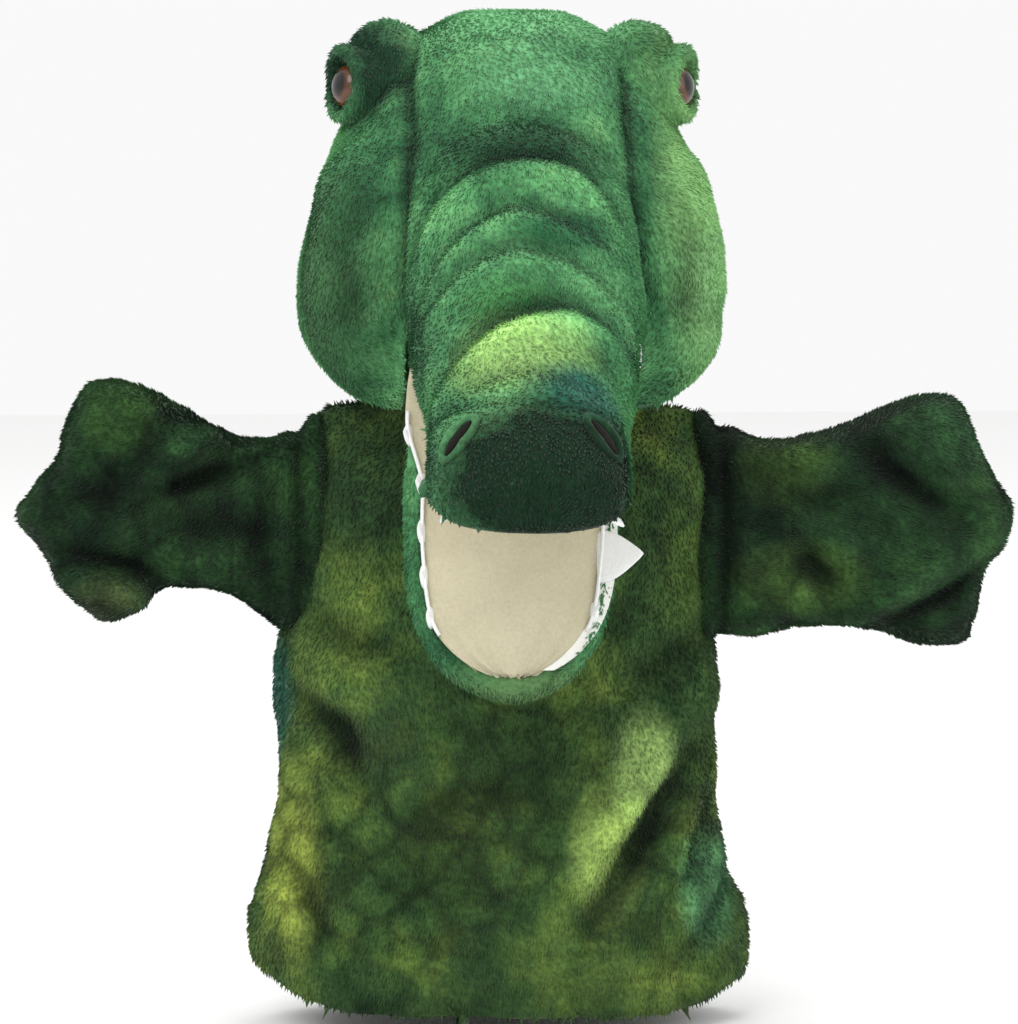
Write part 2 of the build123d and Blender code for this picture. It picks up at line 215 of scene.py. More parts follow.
def part(points, faces, keep):
    # the faces that keep says, with only their own points; also which points those are
    faces = faces[keep]
    used, faces = np.unique(faces, return_inverse=True)
    return points[used], faces.reshape(-1, 3), used


def largest(faces):
    # marks the faces of the biggest connected patch
    group = np.arange(faces.max() + 1)
    while True:
        low = group[faces].min(1)
        before = group.copy()
        for k in range(3):
            np.minimum.at(group, faces[:, k], low)
        group = group[group]
        if (group == before).all():
            break
    label = group[faces[:, 0]]
    names, counts = np.unique(label, return_counts=True)
    return label == names[counts.argmax()]


def evenRim(points, faces, rounds=5):
    # smooths the open edge along itself
    edges, uses = edgesOf(faces)
    rim = edges[uses == 1]
    out = points.copy()
    count = np.bincount(rim.ravel(), minlength=len(points)).clip(1)[:, None]
    on = np.unique(rim)
    for _ in range(rounds):
        total = np.zeros_like(out)
        np.add.at(total, rim[:, 0], out[rim[:, 1]])
        np.add.at(total, rim[:, 1], out[rim[:, 0]])
        out[on] += 0.5 * (total / count - out)[on]
    return out


def walled(points, faces, normals, thickness):
    # a closed shell: the skin, its copy further in, and a rim where the skin is open
    n = len(points)
    edges = np.vstack([faces[:, [0, 1]], faces[:, [1, 2]], faces[:, [2, 0]]])
    key = np.sort(edges, axis=1)
    _, first, counts = np.unique(key, axis=0, return_index=True, return_counts=True)
    rim = edges[first[counts == 1]]
    quads = np.vstack([np.stack([rim[:, 1], rim[:, 0], rim[:, 0] + n], 1),
                       np.stack([rim[:, 1], rim[:, 0] + n, rim[:, 1] + n], 1)])
    inner = points - normals * thickness
    return np.vstack([points, inner]), np.vstack([faces, faces[:, ::-1] + n, quads])


def wave(points, size, seed, detail=2):
    # soft noise from -1 to 1 with features of about that size
    shift = Vector((seed * 13.7, seed * 7.1, seed * 3.3))
    return np.array([noise.fractal(Vector(p) / size + shift, 0.9, 2.0, detail) for p in points])


def crease(flat, path, depth, width, lean=0.0):
    # how far a fold along a flat path moves the cloth; with lean, its left side stands up
    best = np.full(len(flat), 1e9)
    signed, fade = np.zeros(len(flat)), np.zeros(len(flat))
    path = np.asarray(path, float)
    total = len(path) - 1
    for i, (a, b) in enumerate(zip(path, path[1:])):
        run = b - a
        t = np.clip(((flat - a) @ run) / (run @ run), 0, 1)
        away = flat - (a + t[:, None] * run)
        distance = np.linalg.norm(away, axis=1)
        closer = distance < best
        side = np.sign(run[0] * away[:, 1] - run[1] * away[:, 0])
        best = np.where(closer, distance, best)
        signed = np.where(closer, side * distance, signed)
        fade = np.where(closer, np.sin(math.pi * (0.08 + 0.84 * (i + t) / total)), fade)
    shape = -np.exp(-(signed / width) ** 2)
    shape += lean * np.exp(-((signed - 1.7 * width) / (1.3 * width)) ** 2)
    return depth * fade * shape


# ---- shader expressions ----
class Sock:
    # a value on a node tree, so that arithmetic on it adds Math nodes
    def __init__(self, tree, out):
        self.tree, self.out = tree, out

    def math(self, operation, *others):
        return self.tree.node("ShaderNodeMath", {"operation": operation}, (self.out, *others))

    def __add__(self, other):
        return self.math("ADD", other)

    def __sub__(self, other):
        return self.math("SUBTRACT", other)

    def __mul__(self, other):
        return self.math("MULTIPLY", other)

    def __truediv__(self, other):
        return self.math("DIVIDE", other)

    def __pow__(self, other):
        return self.math("POWER", other)

    def __rsub__(self, other):
        return self.tree.node("ShaderNodeMath", {"operation": "SUBTRACT"}, (other, self.out))

    def clamped(self):
        return self.tree.node("ShaderNodeClamp", {}, (self.out, 0.0, 1.0))

    __radd__ = __add__
    __rmul__ = __mul__


class Tree:
    # a node tree, with one method that adds any node
    def __init__(self, tree):
        self.nodes, self.links = tree.nodes, tree.links

    def node(self, kind, settings, values=(), output=0):
        made = self.nodes.new(kind)
        for key, value in settings.items():
            if key == "stops":
                ramp = made.color_ramp.elements
                while len(ramp) > 1:
                    ramp.remove(ramp[-1])
                for i, (at, colour) in enumerate(value):
                    stop = ramp[0] if i == 0 else ramp.new(at)
                    stop.position, stop.color = at, (*colour, 1)
            else:
                setattr(made, key, value)
        pairs = values.items() if isinstance(values, dict) else enumerate(values)
        for key, value in pairs:
            self.feed(made.inputs[key], value)
        return Sock(self, made.outputs[output])

    def feed(self, socket, value):
        value = value.out if isinstance(value, Sock) else value
        if isinstance(value, bpy.types.NodeSocket):
            self.links.new(value, socket)
        elif isinstance(value, (tuple, list)) and len(value) == 3 and socket.type == "RGBA":
            socket.default_value = (*value, 1)
        else:
            socket.default_value = value


class Finish(Tree):
    # a material, with its shader's fixed values
    def __init__(self, name, roughness=0.9, sheen=0.0, specular=0.3):
        self.material = bpy.data.materials.new(name)
        self.material.use_nodes = True
        super().__init__(self.material.node_tree)
        self.shader = self.nodes["Principled BSDF"]
        self.shader.inputs["Roughness"].default_value = roughness
        self.shader.inputs["Sheen Weight"].default_value = sheen
        self.shader.inputs["Sheen Roughness"].default_value = 0.45
        self.shader.inputs["Specular IOR Level"].default_value = specular
        self.place = self.node("ShaderNodeTexCoord", {}, (), "Object")

    def noise(self, size, detail=3.0, roughness=0.55, stretch=(1, 1, 1), turn=(0, 0, 0), shift=0.0):
        # noise with features of about that size in millimetres
        scale = [1000 / size * s for s in stretch]
        at = self.node("ShaderNodeMapping", {}, {"Vector": self.place, "Rotation": turn,
                                                 "Scale": scale, "Location": (shift, shift, shift)})
        return self.node("ShaderNodeTexNoise", {}, {"Vector": at, "Scale": 1.0, "Detail": detail,
                                                    "Roughness": roughness})

    def near(self, centre, reach, soft=0.5):
        # 1 near a point, fading to 0 at reach; reach may differ along x, y and z
        reach = (reach,) * 3 if np.isscalar(reach) else reach
        centre = [c / 1000 for c in centre]
        away = self.node("ShaderNodeVectorMath", {"operation": "SUBTRACT"}, (self.place, centre))
        scaled = self.node("ShaderNodeVectorMath", {"operation": "DIVIDE"},
                           (away, [r / 1000 for r in reach]))
        length = self.node("ShaderNodeVectorMath", {"operation": "LENGTH"}, (scaled,), "Value")
        return ((1 - length) / soft).clamped()

    def mix(self, share, one, other, kind="MIX"):
        return self.node("ShaderNodeMix", {"data_type": "RGBA", "blend_type": kind},
                         {0: share, 6: one, 7: other}, 2)

    def ramp(self, value, stops, smooth="EASE"):
        made = self.node("ShaderNodeValToRGB", {"stops": stops}, (value,))
        made.out.node.color_ramp.interpolation = smooth
        return made

    def colour(self, value):
        self.feed(self.shader.inputs["Base Color"], value)

    def rough(self, value):
        self.feed(self.shader.inputs["Roughness"], value)

    def bump(self, height, distance, strength=1.0):
        made = self.node("ShaderNodeBump", {}, {"Strength": strength, "Distance": distance / 1000,
                                                "Height": height})
        self.feed(self.shader.inputs["Normal"], made)


def plushFinish(name, shades, tintsAndPaintedLight=(), cell=11.0, cellShare=0.5, mottle=26.0, shift=0.0, light=1.0):
    # tie-dyed pile: drifting shades, colour patches, some of them painted highlights and painted shade, rounded scale
    # shapes with dark outlines, painted shade in creases and painted highlight on ridges from the fold attribute, and
    # fine fibres
    f = Finish(name, roughness=0.92, sheen=0.12, specular=0.15)
    drift = f.noise(mottle, detail=2.5, roughness=0.5, shift=shift)
    small = f.noise(mottle / 4, detail=3, shift=shift + 5)
    tone = ((drift * 0.7 + small * 0.3 - 0.5) * 2.3 + 0.5).clamped()
    colour = f.ramp(tone, [(i / (len(shades) - 1), s) for i, s in enumerate(shades)], "LINEAR")
    for centre, reach, soft, paint, share in tintsAndPaintedLight:
        mask = (f.near(centre, reach, soft) * (small * 1.4 + 0.3)).clamped() * share
        colour = f.mix(mask, colour, paint)
    if cellShare:
        warp = f.node("ShaderNodeMix", {"data_type": "VECTOR"}, {0: 0.012, 4: f.place, 5: f.node(
            "ShaderNodeTexNoise", {}, {"Vector": f.place, "Scale": 60.0}, 1)}, 1)
        cells = f.node("ShaderNodeTexVoronoi", {"feature": "DISTANCE_TO_EDGE"},
                       {"Vector": warp, "Scale": 1000 / cell, "Randomness": 0.8})
        outline = (1 - cells * 4.5).clamped()
        where = ((f.noise(45, detail=1, shift=shift + 9) - 0.38) * 4).clamped()
        dark = f.mix(0.4, (0, 0, 0), colour)
        colour = f.mix(outline * where * (cellShare * 0.6), colour, dark)
        middle = f.node("ShaderNodeTexVoronoi", {"feature": "F1"},
                        {"Vector": warp, "Scale": 1000 / cell, "Randomness": 0.8})
        heart = ((0.62 - middle) * 3).clamped()
        colour = f.mix(heart * where * (cellShare * 0.6), colour, f.mix(1.0, colour, (1.7, 1.6, 1.4), "MULTIPLY"))
        gap = ((middle - 0.5) * 4).clamped()
        colour = f.mix(gap * where * (cellShare * 0.6), colour, dark)
    # painted shade darkens the creases and a painted highlight lightens the ridges, from the fold attribute
    creaseShadeRidgeHighlight = f.node("ShaderNodeAttribute", {"attribute_name": "fold"}, (), "Fac")
    colour = f.mix((creaseShadeRidgeHighlight * -0.95).clamped(), colour, f.mix(1.0, colour, (0.16, 0.20, 0.22), "MULTIPLY"))
    colour = f.mix((creaseShadeRidgeHighlight * 0.7).clamped(), colour, f.mix(1.0, colour, (2.0, 1.9, 1.8), "MULTIPLY"))
    fibre = f.noise(1.1, detail=2, roughness=0.6)
    shade = (fibre - 0.5) * 1.5 + light
    colour = f.mix(1.0, colour, f.node("ShaderNodeCombineColor", {}, (shade, shade, shade)), "MULTIPLY")
    f.colour(colour)
    f.bump(fibre, 0.35, 0.6)
    return f.material


bodyShades = [(0.007, 0.020, 0.008), (0.018, 0.048, 0.015), (0.036, 0.080, 0.022), (0.075, 0.130, 0.028),
              (0.150, 0.215, 0.045)]
armShades = [(0.003, 0.009, 0.004), (0.007, 0.023, 0.009), (0.015, 0.047, 0.015), (0.032, 0.090, 0.026)]
headShades = [(0.012, 0.055, 0.022), (0.030, 0.120, 0.048), (0.060, 0.205, 0.080), (0.105, 0.300, 0.120),
              (0.190, 0.420, 0.160)]


def weaveFinish(name, dark, light, thread=0.9, roughness=0.85, fuzz=0.25):
    # plain woven cloth: threads over and under each other
    f = Finish(name, roughness=roughness, sheen=0.05)
    rows = [f.node("ShaderNodeTexWave", {"bands_direction": way}, {
        "Vector": f.place, "Scale": 1000 / thread / 20 * math.pi, "Distortion": 0.6, "Detail Scale": 3.0})
        for way in "XZ"]
    over = rows[0] * 0.5 + rows[1] * 0.5
    loose = f.noise(7, detail=3)
    colour = f.mix((over * 0.7 + loose * 0.5 - 0.1).clamped(), dark, light)
    f.colour(colour)
    f.bump(over + loose * fuzz, 0.2, 0.7)
    return f.material


def napFinish(name, dark, light, size=0.8, relief=0.25, stain=None):
    # short brushed cloth or felt: tangled fine fibres
    f = Finish(name, roughness=0.95, sheen=0.08, specular=0.1)
    fibre = f.noise(size, detail=3, roughness=0.7)
    cloud = f.noise(14, detail=2)
    colour = f.mix((fibre * 0.9 + cloud * 0.5 - 0.2).clamped(), dark, light)
    for centre, reach, paint, share in stain or ():
        colour = f.mix(f.near(centre, reach, 0.7) * cloud * share, colour, paint)
    f.colour(colour)
    f.bump(fibre + cloud * 0.4, relief, 0.8)
    return f.material


def smoothFinish(name, paint, other, roughness=0.4, size=9.0, relief=0.05):
    # moulded plastic or foam sheet with a faint mottle
    f = Finish(name, roughness=roughness, specular=0.5)
    cloud = f.noise(size, detail=3)
    f.colour(f.mix(cloud, paint, other))
    f.rough(cloud * 0.2 + (roughness - 0.1))
    f.bump(f.noise(0.7, detail=2), relief, 0.4)
    return f.material


# ---- the pile, as leaning tufts over a skin ----
pileSizes = {"density": 1.2, "length": 1.5, "width": 0.34, "lean": 1.2, "scatter": 0.3}


def pileTree():
    tree = bpy.data.node_groups.new("pile", "GeometryNodeTree")
    face = tree.interface
    face.new_socket("Geometry", in_out="INPUT", socket_type="NodeSocketGeometry")
    for label in ("Density", "Length", "Width", "Lean", "Scatter"):
        face.new_socket(label, in_out="INPUT", socket_type="NodeSocketFloat")
    face.new_socket("Seed", in_out="INPUT", socket_type="NodeSocketInt")
    face.new_socket("Material", in_out="INPUT", socket_type="NodeSocketMaterial")
    face.new_socket("Geometry", in_out="OUTPUT", socket_type="NodeSocketGeometry")
    t = Tree(tree)
    given = t.nodes.new("NodeGroupInput").outputs
    spread = t.node("GeometryNodeDistributePointsOnFaces", {},
                    {"Mesh": given["Geometry"], "Density": given["Density"], "Seed": given["Seed"]})
    normal = Sock(t, spread.out.node.outputs["Normal"])
    lay = t.node("GeometryNodeInputNamedAttribute", {"data_type": "FLOAT_VECTOR"}, {"Name": "lay"})
    stray = t.node("FunctionNodeRandomValue", {"data_type": "FLOAT_VECTOR"},
                   {0: (-1, -1, -1), 1: (1, 1, 1), "Seed": given["Seed"]})
    scaled = [t.node("ShaderNodeVectorMath", {"operation": "SCALE"}, {0: way, "Scale": given[label]})
              for way, label in ((lay, "Lean"), (stray, "Scatter"))]
    axis = t.node("ShaderNodeVectorMath", {"operation": "ADD"}, (normal, scaled[0]))
    axis = t.node("ShaderNodeVectorMath", {"operation": "ADD"}, (axis, scaled[1]))
    turned = t.node("FunctionNodeAlignRotationToVector", {"axis": "Z"}, {"Vector": axis})
    tuft = t.node("GeometryNodeMeshCone", {}, {"Vertices": 3, "Radius Top": 0.0,
                                               "Radius Bottom": given["Width"], "Depth": given["Length"]})
    size = t.node("FunctionNodeRandomValue", {"data_type": "FLOAT"},
                  {2: 0.7, 3: 1.2, "Seed": given["Seed"]}, 1)
    # the map OFBake gives every tuft its own square
    store = lambda geometry, name, value, kind, domain: t.node(
        "GeometryNodeStoreNamedAttribute", {"data_type": kind, "domain": domain},
        {"Geometry": geometry, "Name": name, "Value": value})
    drawn = Sock(t, tuft.out.node.outputs["UV Map"])
    tuft = store(tuft, "OFBake", drawn, "FLOAT2", "CORNER")
    spread = store(spread, "tuft", t.node("GeometryNodeInputIndex", {}), "INT", "POINT")
    count = t.node("GeometryNodeAttributeDomainSize", {"component": "POINTCLOUD"}, {"Geometry": spread},
                   "Point Count")
    placed = t.node("GeometryNodeInstanceOnPoints", {},
                    {"Points": spread, "Instance": tuft, "Rotation": turned, "Scale": size})
    real = t.node("GeometryNodeRealizeInstances", {}, {"Geometry": placed})
    across = t.node("ShaderNodeMath", {"operation": "CEIL"}, (count ** 0.5,))
    index = t.node("GeometryNodeInputNamedAttribute", {"data_type": "INT"}, {"Name": "tuft"})
    row = t.node("ShaderNodeMath", {"operation": "FLOOR"}, (index / across,))
    corner = t.node("GeometryNodeInputNamedAttribute", {"data_type": "FLOAT_VECTOR"}, {"Name": "OFBake"})
    split = t.node("ShaderNodeSeparateXYZ", {}, (corner,))
    u = (index - row * across + 0.1 + split * 0.8) / across
    v = (row + 0.1 + Sock(t, split.out.node.outputs["Y"]) * 1.6) / across
    mapped = store(real, "OFBake", t.node("ShaderNodeCombineXYZ", {}, (u, v, 0.0)), "FLOAT2", "CORNER")
    done = t.node("GeometryNodeSetMaterial", {}, {"Geometry": mapped, "Material": given["Material"]})
    end = t.nodes.new("NodeGroupOutput")
    t.links.new(done.out, end.inputs["Geometry"])
    return tree


pileNodes = pileTree()


def piece(name, points, faces, material, fold=None):
    # fold says where the cloth is in a crease, below 0, or stands up in a ridge; the plush finishes paint shade into
    # the creases and a highlight onto the ridges from it
    mesh = meshFrom(name, points, faces)
    if fold is not None:
        values = np.resize(fold, len(points))
        mesh.attributes.new("fold", "FLOAT", "POINT").data.foreach_set("value", values)
    mesh.materials.append(material)
    mesh.polygons.foreach_set("use_smooth", [True] * len(mesh.polygons))
    item = bpy.data.objects.new(name, mesh)
    bpy.context.scene.collection.objects.link(item)
    return item


def layOf(points, normals, down, swirl=0.5, seed=1):
    # which way the pile lies: mostly along down, in drifts
    way = np.asarray(down, float) + swirl * np.stack(
        [wave(points, 24, seed + k, 1) for k in range(3)], axis=1) * 1.6
    way = way - normals * (way * normals).sum(1)[:, None]
    return way / np.linalg.norm(way, axis=1).clip(0.3)[:, None]


def pile(name, points, faces, lay, material, seed, fold=None, **changes):
    sizes = {**pileSizes, **changes}
    base = piece(name + "_base", points, faces, material, fold)
    attribute = base.data.attributes.new("lay", "FLOAT_VECTOR", "POINT")
    attribute.data.foreach_set("vector", lay.ravel())
    grow = base.modifiers.new("pile", "NODES")
    grow.node_group = pileNodes
    keys = {s.name: s.identifier for s in pileNodes.interface.items_tree if s.in_out == "INPUT"}
    settings = {"Density": sizes["density"] * 1e6, "Length": sizes["length"] / 1000,
                "Width": sizes["width"] / 1000, "Lean": sizes["lean"], "Scatter": sizes["scatter"],
                "Seed": seed, "Material": material}
    for label, value in settings.items():
        grow[keys[label]] = value
    mesh = evaluated(base)
    mesh.name = name
    if not mesh.materials:
        mesh.materials.append(material)
    item = bpy.data.objects.new(name, mesh)
    bpy.context.scene.collection.objects.link(item)
    return item


def clothPanel(name, points, faces, normals, keep, thickness, material, lay, seed, fold, **changes):
    # one sewn panel: its cloth and the pile on it
    p, f, used = part(points, faces, keep)
    cloth = piece(name, *walled(p, f, normals[used], thickness), material, fold[used])
    tufts = pile(name + "_pile", p, f, lay[used], material, seed, fold[used], **changes)
    return cloth, tufts


def area(points, faces):
    a, b, c = points[faces[:, 0]], points[faces[:, 1]], points[faces[:, 2]]
    return float(np.linalg.norm(np.cross(b - a, c - a), axis=1).sum() / 2)


def rise(value, start, end):
    t = np.clip((value - start) / (end - start), 0, 1)
    return t * t * (3 - 2 * t)


# ---- finishes of this puppet ----
bodyPlush = plushFinish("green_plush_body", bodyShades, [
    # painted shadow of the lower jaw on the chest, below the chin
    ((0, -31, 78), (26, 30, 20), 0.7, (0.016, 0.040, 0.012), 0.8),
    ((-22, -31, 50), (22, 30, 22), 0.7, (0.014, 0.036, 0.010), 0.8),
    # painted highlights on the raised side of the diagonal fold on the right of the front
    ((25, -31, 50), (13, 40, 22), 0.5, (0.19, 0.29, 0.075), 0.85),
    ((36, -30, 72), (12, 40, 20), 0.5, (0.17, 0.27, 0.085), 1.1),
    # painted highlight on the left side, along the ridge of its low fold
    ((-61, -14, 46), (10, 30, 34), 0.6, (0.20, 0.26, 0.05), 0.8),
    ((50, -20, 128), (14, 40, 26), 0.7, (0.055, 0.105, 0.022), 0.9),
    ((54, -16, 38), (11, 30, 20), 0.5, (0.075, 0.20, 0.085), 1.1),
    ((-66, 8, 90), (12, 20, 22), 0.5, (0.02, 0.11, 0.075), 0.8),
    ((-50, -25, 150), (22, 40, 26), 0.7, (0.010, 0.030, 0.014), 0.6),
    # painted shade along the crease on the left of the front
    ((-40, -30, 80), (16, 40, 14), 0.7, (0.010, 0.026, 0.012), 0.7),
], cell=12, cellShare=0.95, mottle=30)
armPlush = plushFinish("dark_plush_arms", armShades, [
    ((-108, -10, 170), (14, 30, 12), 0.7, (0.04, 0.10, 0.025), 0.6),
    ((126, -10, 168), (16, 30, 14), 0.7, (0.03, 0.10, 0.035), 0.6),
    ((76, -14, 155), (16, 30, 14), 0.7, (0.05, 0.10, 0.022), 0.6),
    ((80, -14, 124), (22, 30, 12), 0.6, (0.055, 0.115, 0.028), 0.9),
    ((-111, -8, 120), (12, 30, 9), 0.6, (0.030, 0.045, 0.018), 0.9),
], cell=13, cellShare=0.8, mottle=24, shift=3)
headPlush = plushFinish("green_plush_head", headShades, [
    ((-50, -30, 205), (20, 34, 40), 0.6, (0.030, 0.085, 0.032), 0.85),
    ((52, -28, 222), (20, 34, 56), 0.5, (0.18, 0.37, 0.13), 1.1),
    ((54, -30, 205), (12, 30, 22), 0.6, (0.18, 0.37, 0.15), 0.9),
    ((0, -20, 282), (40, 40, 18), 0.7, (0.17, 0.44, 0.20), 0.8),
    ((6, -44, 262), (26, 26, 12), 0.7, (0.12, 0.33, 0.15), 0.9),
    ((10, -80, 221), (20, 18, 7), 0.6, (0.020, 0.10, 0.040), 1.1),
    ((-8, -94, 203), (16, 16, 8), 0.6, (0.05, 0.19, 0.055), 0.8),
    ((-6, -108, 190), (24, 20, 17), 0.6, (0.25, 0.42, 0.13), 0.85),
    ((8, -118, 180), (17, 14, 12), 0.6, (0.025, 0.13, 0.085), 1.0),
    # painted shade in the crease where the snout meets the brow
    ((0, -58, 242), (38, 22, 12), 0.9, (0.010, 0.050, 0.020), 1.2),
    ((0, -134, 160), (36, 26, 27), 0.5, (0.005, 0.022, 0.009), 1.25),
    ((-38, -12, 262), (17, 20, 18), 0.4, (0.010, 0.038, 0.018), 1.4),
    ((38, -12, 262), (15, 17, 18), 0.5, (0.08, 0.15, 0.045), 0.7),
], cell=12, cellShare=0.0, mottle=26, shift=7)
jawPlush = plushFinish("green_plush_jaw", headShades[:4], [
    ((-2, -80, 98), (34, 30, 14), 0.7, (0.09, 0.17, 0.06), 0.8),
], cell=12, cellShare=0.0, mottle=20, shift=11)
mouthNap = napFinish("mouth_plush", (0.37, 0.335, 0.23), (0.56, 0.52, 0.375), size=0.9, relief=0.22, stain=[
    ((-22, -70, 150), (10, 20, 16), (0.42, 0.33, 0.24), 0.7),
    ((-4, -84, 98), (24, 10, 8), (0.45, 0.36, 0.27), 0.9)])
whiteFelt = napFinish("white_felt", (0.62, 0.63, 0.62), (0.86, 0.87, 0.86), size=0.7, relief=0.3)
nostrilFelt = napFinish("nostril_felt", (0.004, 0.005, 0.004), (0.016, 0.014, 0.010), size=0.7)
liningWeave = weaveFinish("plain_lining", (0.012, 0.014, 0.012), (0.030, 0.034, 0.030))
waddingNap = napFinish("wadding", (0.72, 0.72, 0.70), (0.9, 0.9, 0.88), size=2.2, relief=0.8)
foamSheet = smoothFinish("foam_board", (0.70, 0.70, 0.66), (0.82, 0.82, 0.78), roughness=0.75, relief=0.1)
washerPlastic = smoothFinish("washer_plastic", (0.78, 0.78, 0.74), (0.86, 0.86, 0.83), roughness=0.45)
labelSatin = weaveFinish("woven_label", (0.74, 0.74, 0.71), (0.86, 0.86, 0.84), thread=0.5, roughness=0.4)
print("finishes made")


# ---- the sleeve: front and back panels, hem facing and lining ----
sleeve = {"voxel": 1.9, "wall": 2.2, "lining": 0.8, "hemLow": 4, "hemRise": 12, "hemSpan": 60,
          "hemTurn": 18}
# height, half width, half depth
sleeveStops = [(0, 69.5, 31.5), (20, 70, 32.5), (50, 63.5, 31.5), (82, 60, 30.5), (110, 59, 29.5),
               (126, 59, 28.5), (140, 58.5, 27), (154, 58, 23), (165, 56.5, 15.5), (172, 51, 7)]
sleeveAside = [(0, -3.0), (60, -3.0), (110, -2.0), (150, 0), (175, 0)]  # it hangs a little to one side
# folds: their path as (x, z) on the front, then depth, width and how far one side stands up
frontFolds = [([(20, 30), (30, 46), (41, 62), (55, 80)], 4.5, 5.5, 0.75),
              ([(45, 34), (52, 50), (58, 62)], 2.4, 3.5, 0.6),
              ([(50, 22), (58, 34), (64, 44)], 2.6, 4.0, 0.5),
              ([(-60, 92), (-48, 84), (-42, 70)], 4.0, 5.0, 0.5),
              ([(-52, 24), (-58, 36), (-63, 48)], 2.2, 4.0, 0.8),
              ([(-57, 116), (-44, 108), (-30, 106)], 2.0, 5.0, 0.4),
              ([(30, 96), (44, 104), (57, 110)], 2.0, 5.0, 0.4),
              ([(-30, 58), (-8, 66), (14, 60)], 1.5, 7.0, 0.3)]
backFolds = [([(-62, 96), (-40, 84), (-14, 82)], 3.4, 6.0, 0.6),
             ([(60, 100), (42, 82), (20, 74)], 3.0, 6.0, 0.5),
             ([(-50, 30), (-20, 44), (6, 40)], 2.4, 7.0, 0.4),
             ([(12, 128), (16, 106), (8, 88)], 2.0, 6.0, 0.4)]


def makeSleeve():
    across, depth = np.array((1.0, 0, 0)), np.array((0, 1.0, 0))
    levels = np.linspace(0, sleeveStops[-1][0], 60)
    aside = flowing(sleeveAside, levels)[:, 0]
    tube = [ring((x, 0, z), across, depth, w, d) for x, z, (w, d) in zip(aside, levels, flowing(sleeveStops, levels))]
    neckHalf = boxOf("neck_collar")
    wide, deep = neckHalf[1][0], neckHalf[1][1]
    collar = [ring((0, 0, z), across, depth, wide - 2.5 * t, deep - 2.5 * t)
              for t, z in zip(np.linspace(0, 1, 12), np.linspace(torsoTop - 22, neckHigh[2] + 3, 12))]
    p, f = welded("sleeve", [lofted(tube), lofted(collar)], sleeve["voxel"], 8)
    # the hem's corners are rounded, so its sides stand higher than its middle
    t = np.clip(1 - p[:, 2] / sleeve["hemSpan"], 0, 1)
    p[:, 2] += (sleeve["hemLow"] + sleeve["hemRise"] * np.clip(np.abs(p[:, 0]) / hemHalf, 0, 1.1) ** 4) * t**1.5
    n = normalsOf(p, f)
    move = 2.0 * wave(p, 42, 1) + 1.0 * wave(p, 15, 2)
    flat = p[:, [0, 2]]
    creased = np.zeros(len(p))
    for folds, facing in ((frontFolds, -1), (backFolds, 1)):
        share = rise(n[:, 1] * facing, 0.05, 0.5)
        for path, fall, width, lean in folds:
            creased += 1.35 * share * crease(flat, path, fall, width, lean)
    move += creased
    belly = np.exp(-((flat - (-60, 92)) / (9, 17)) ** 2 @ np.ones(2))
    move += 4.5 * belly * rise(p[:, 1], -4, 6)
    seam = np.exp(-(p[:, 1] / 2.1) ** 2) * rise(np.abs(p[:, 0]), 30, 40)
    move -= 1.5 * seam
    creased -= 1.5 * seam
    turned = p[:, 2] - sleeve["hemLow"] - sleeve["hemRise"] * (np.abs(p[:, 0]) / hemHalf) ** 4 - sleeve["hemTurn"]
    move -= 0.7 * np.exp(-(turned / 1.6) ** 2)
    move *= 1 - 0.7 * rise(p[:, 2], torsoTop - 4, torsoTop + 8)
    p = p + n * move[:, None]
    top = lambda q: q[:, 2] - (neckHigh[2] - 0.5)
    p = snapped(p, f, top)
    p = snapped(p, f, lambda q: q[:, 1])
    n = normalsOf(p, f)
    middle = p[f].mean(1)
    under = (n[f].mean(1)[:, 2] < -0.75) & (middle[:, 2] < 24)
    skin = (top(middle) < 0) & ~under
    skin[skin] = largest(f[skin])
    p, f, used = part(p, f, skin)
    p = evenRim(p, f)
    n = normalsOf(p, f)
    # the last value is the crease depth, which the plush finish paints as shade in creases and highlight on ridges
    return p, f, n, creased[used] / 3.5


sleevePoints, sleeveFaces, sleeveNormals, sleeveCreaseShading = makeSleeve()
sleeveLay = layOf(sleevePoints, sleeveNormals, (0, 0, -1), 0.45, 20)
sleeveMiddle = sleevePoints[sleeveFaces].mean(1)
turnStart, turnEnd = (0, 0, (torsoTop - 1) / 1000), (0, 0, (torsoTop + 22) / 1000)


def wear(item, how, replaced=()):
    # attaches a piece to the body it rides on; a piece that would bend between two bodies only has its placement baked
    # in; and hides the parts it stands for
    if isinstance(how, str):
        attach(item, how)
    else:
        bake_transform(item)
    if replaced:
        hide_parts(*replaced)
    return item


turning = ("torso", "neck", turnStart, turnEnd)
flatPanels = {}
for face, facing in (("front", -1), ("back", 1)):
    keep = sleeveMiddle[:, 1] * facing > 0
    cloth, tufts = clothPanel(f"{face}_panel_cloth", sleevePoints, sleeveFaces, sleeveNormals, keep,
                              sleeve["wall"], bodyPlush, sleeveLay, 11 + facing, sleeveCreaseShading, density=1.0)
    stood = [f"{face}_panel"] + (["neck_collar", "throat_gusset"] if facing < 0 else [])
    wear(cloth, turning, stood)
    wear(tufts, turning)
    flatPanels[face] = (0.16, (neckHigh[2] + 8) / 1000)  # half the hem's girth, less its narrowing above
inside = sleevePoints - sleeveNormals * (sleeve["wall"] + 0.5)
hemEdge = sleeve["hemLow"] + sleeve["hemRise"] * (np.abs(sleeveMiddle[:, 0]) / hemHalf) ** 4
inHem = sleeveMiddle[:, 2] < hemEdge + sleeve["hemTurn"] - 0.5
p, f, used = part(inside, sleeveFaces, inHem)
hemCloth = wear(piece("hem_facing", *walled(p, f, sleeveNormals[used], 1.6), bodyPlush), "torso",
              ["front_hem_facing", "back_hem_facing"])
2 * flatPanels["back"][0]
p, f, used = part(inside, sleeveFaces, ~inHem)
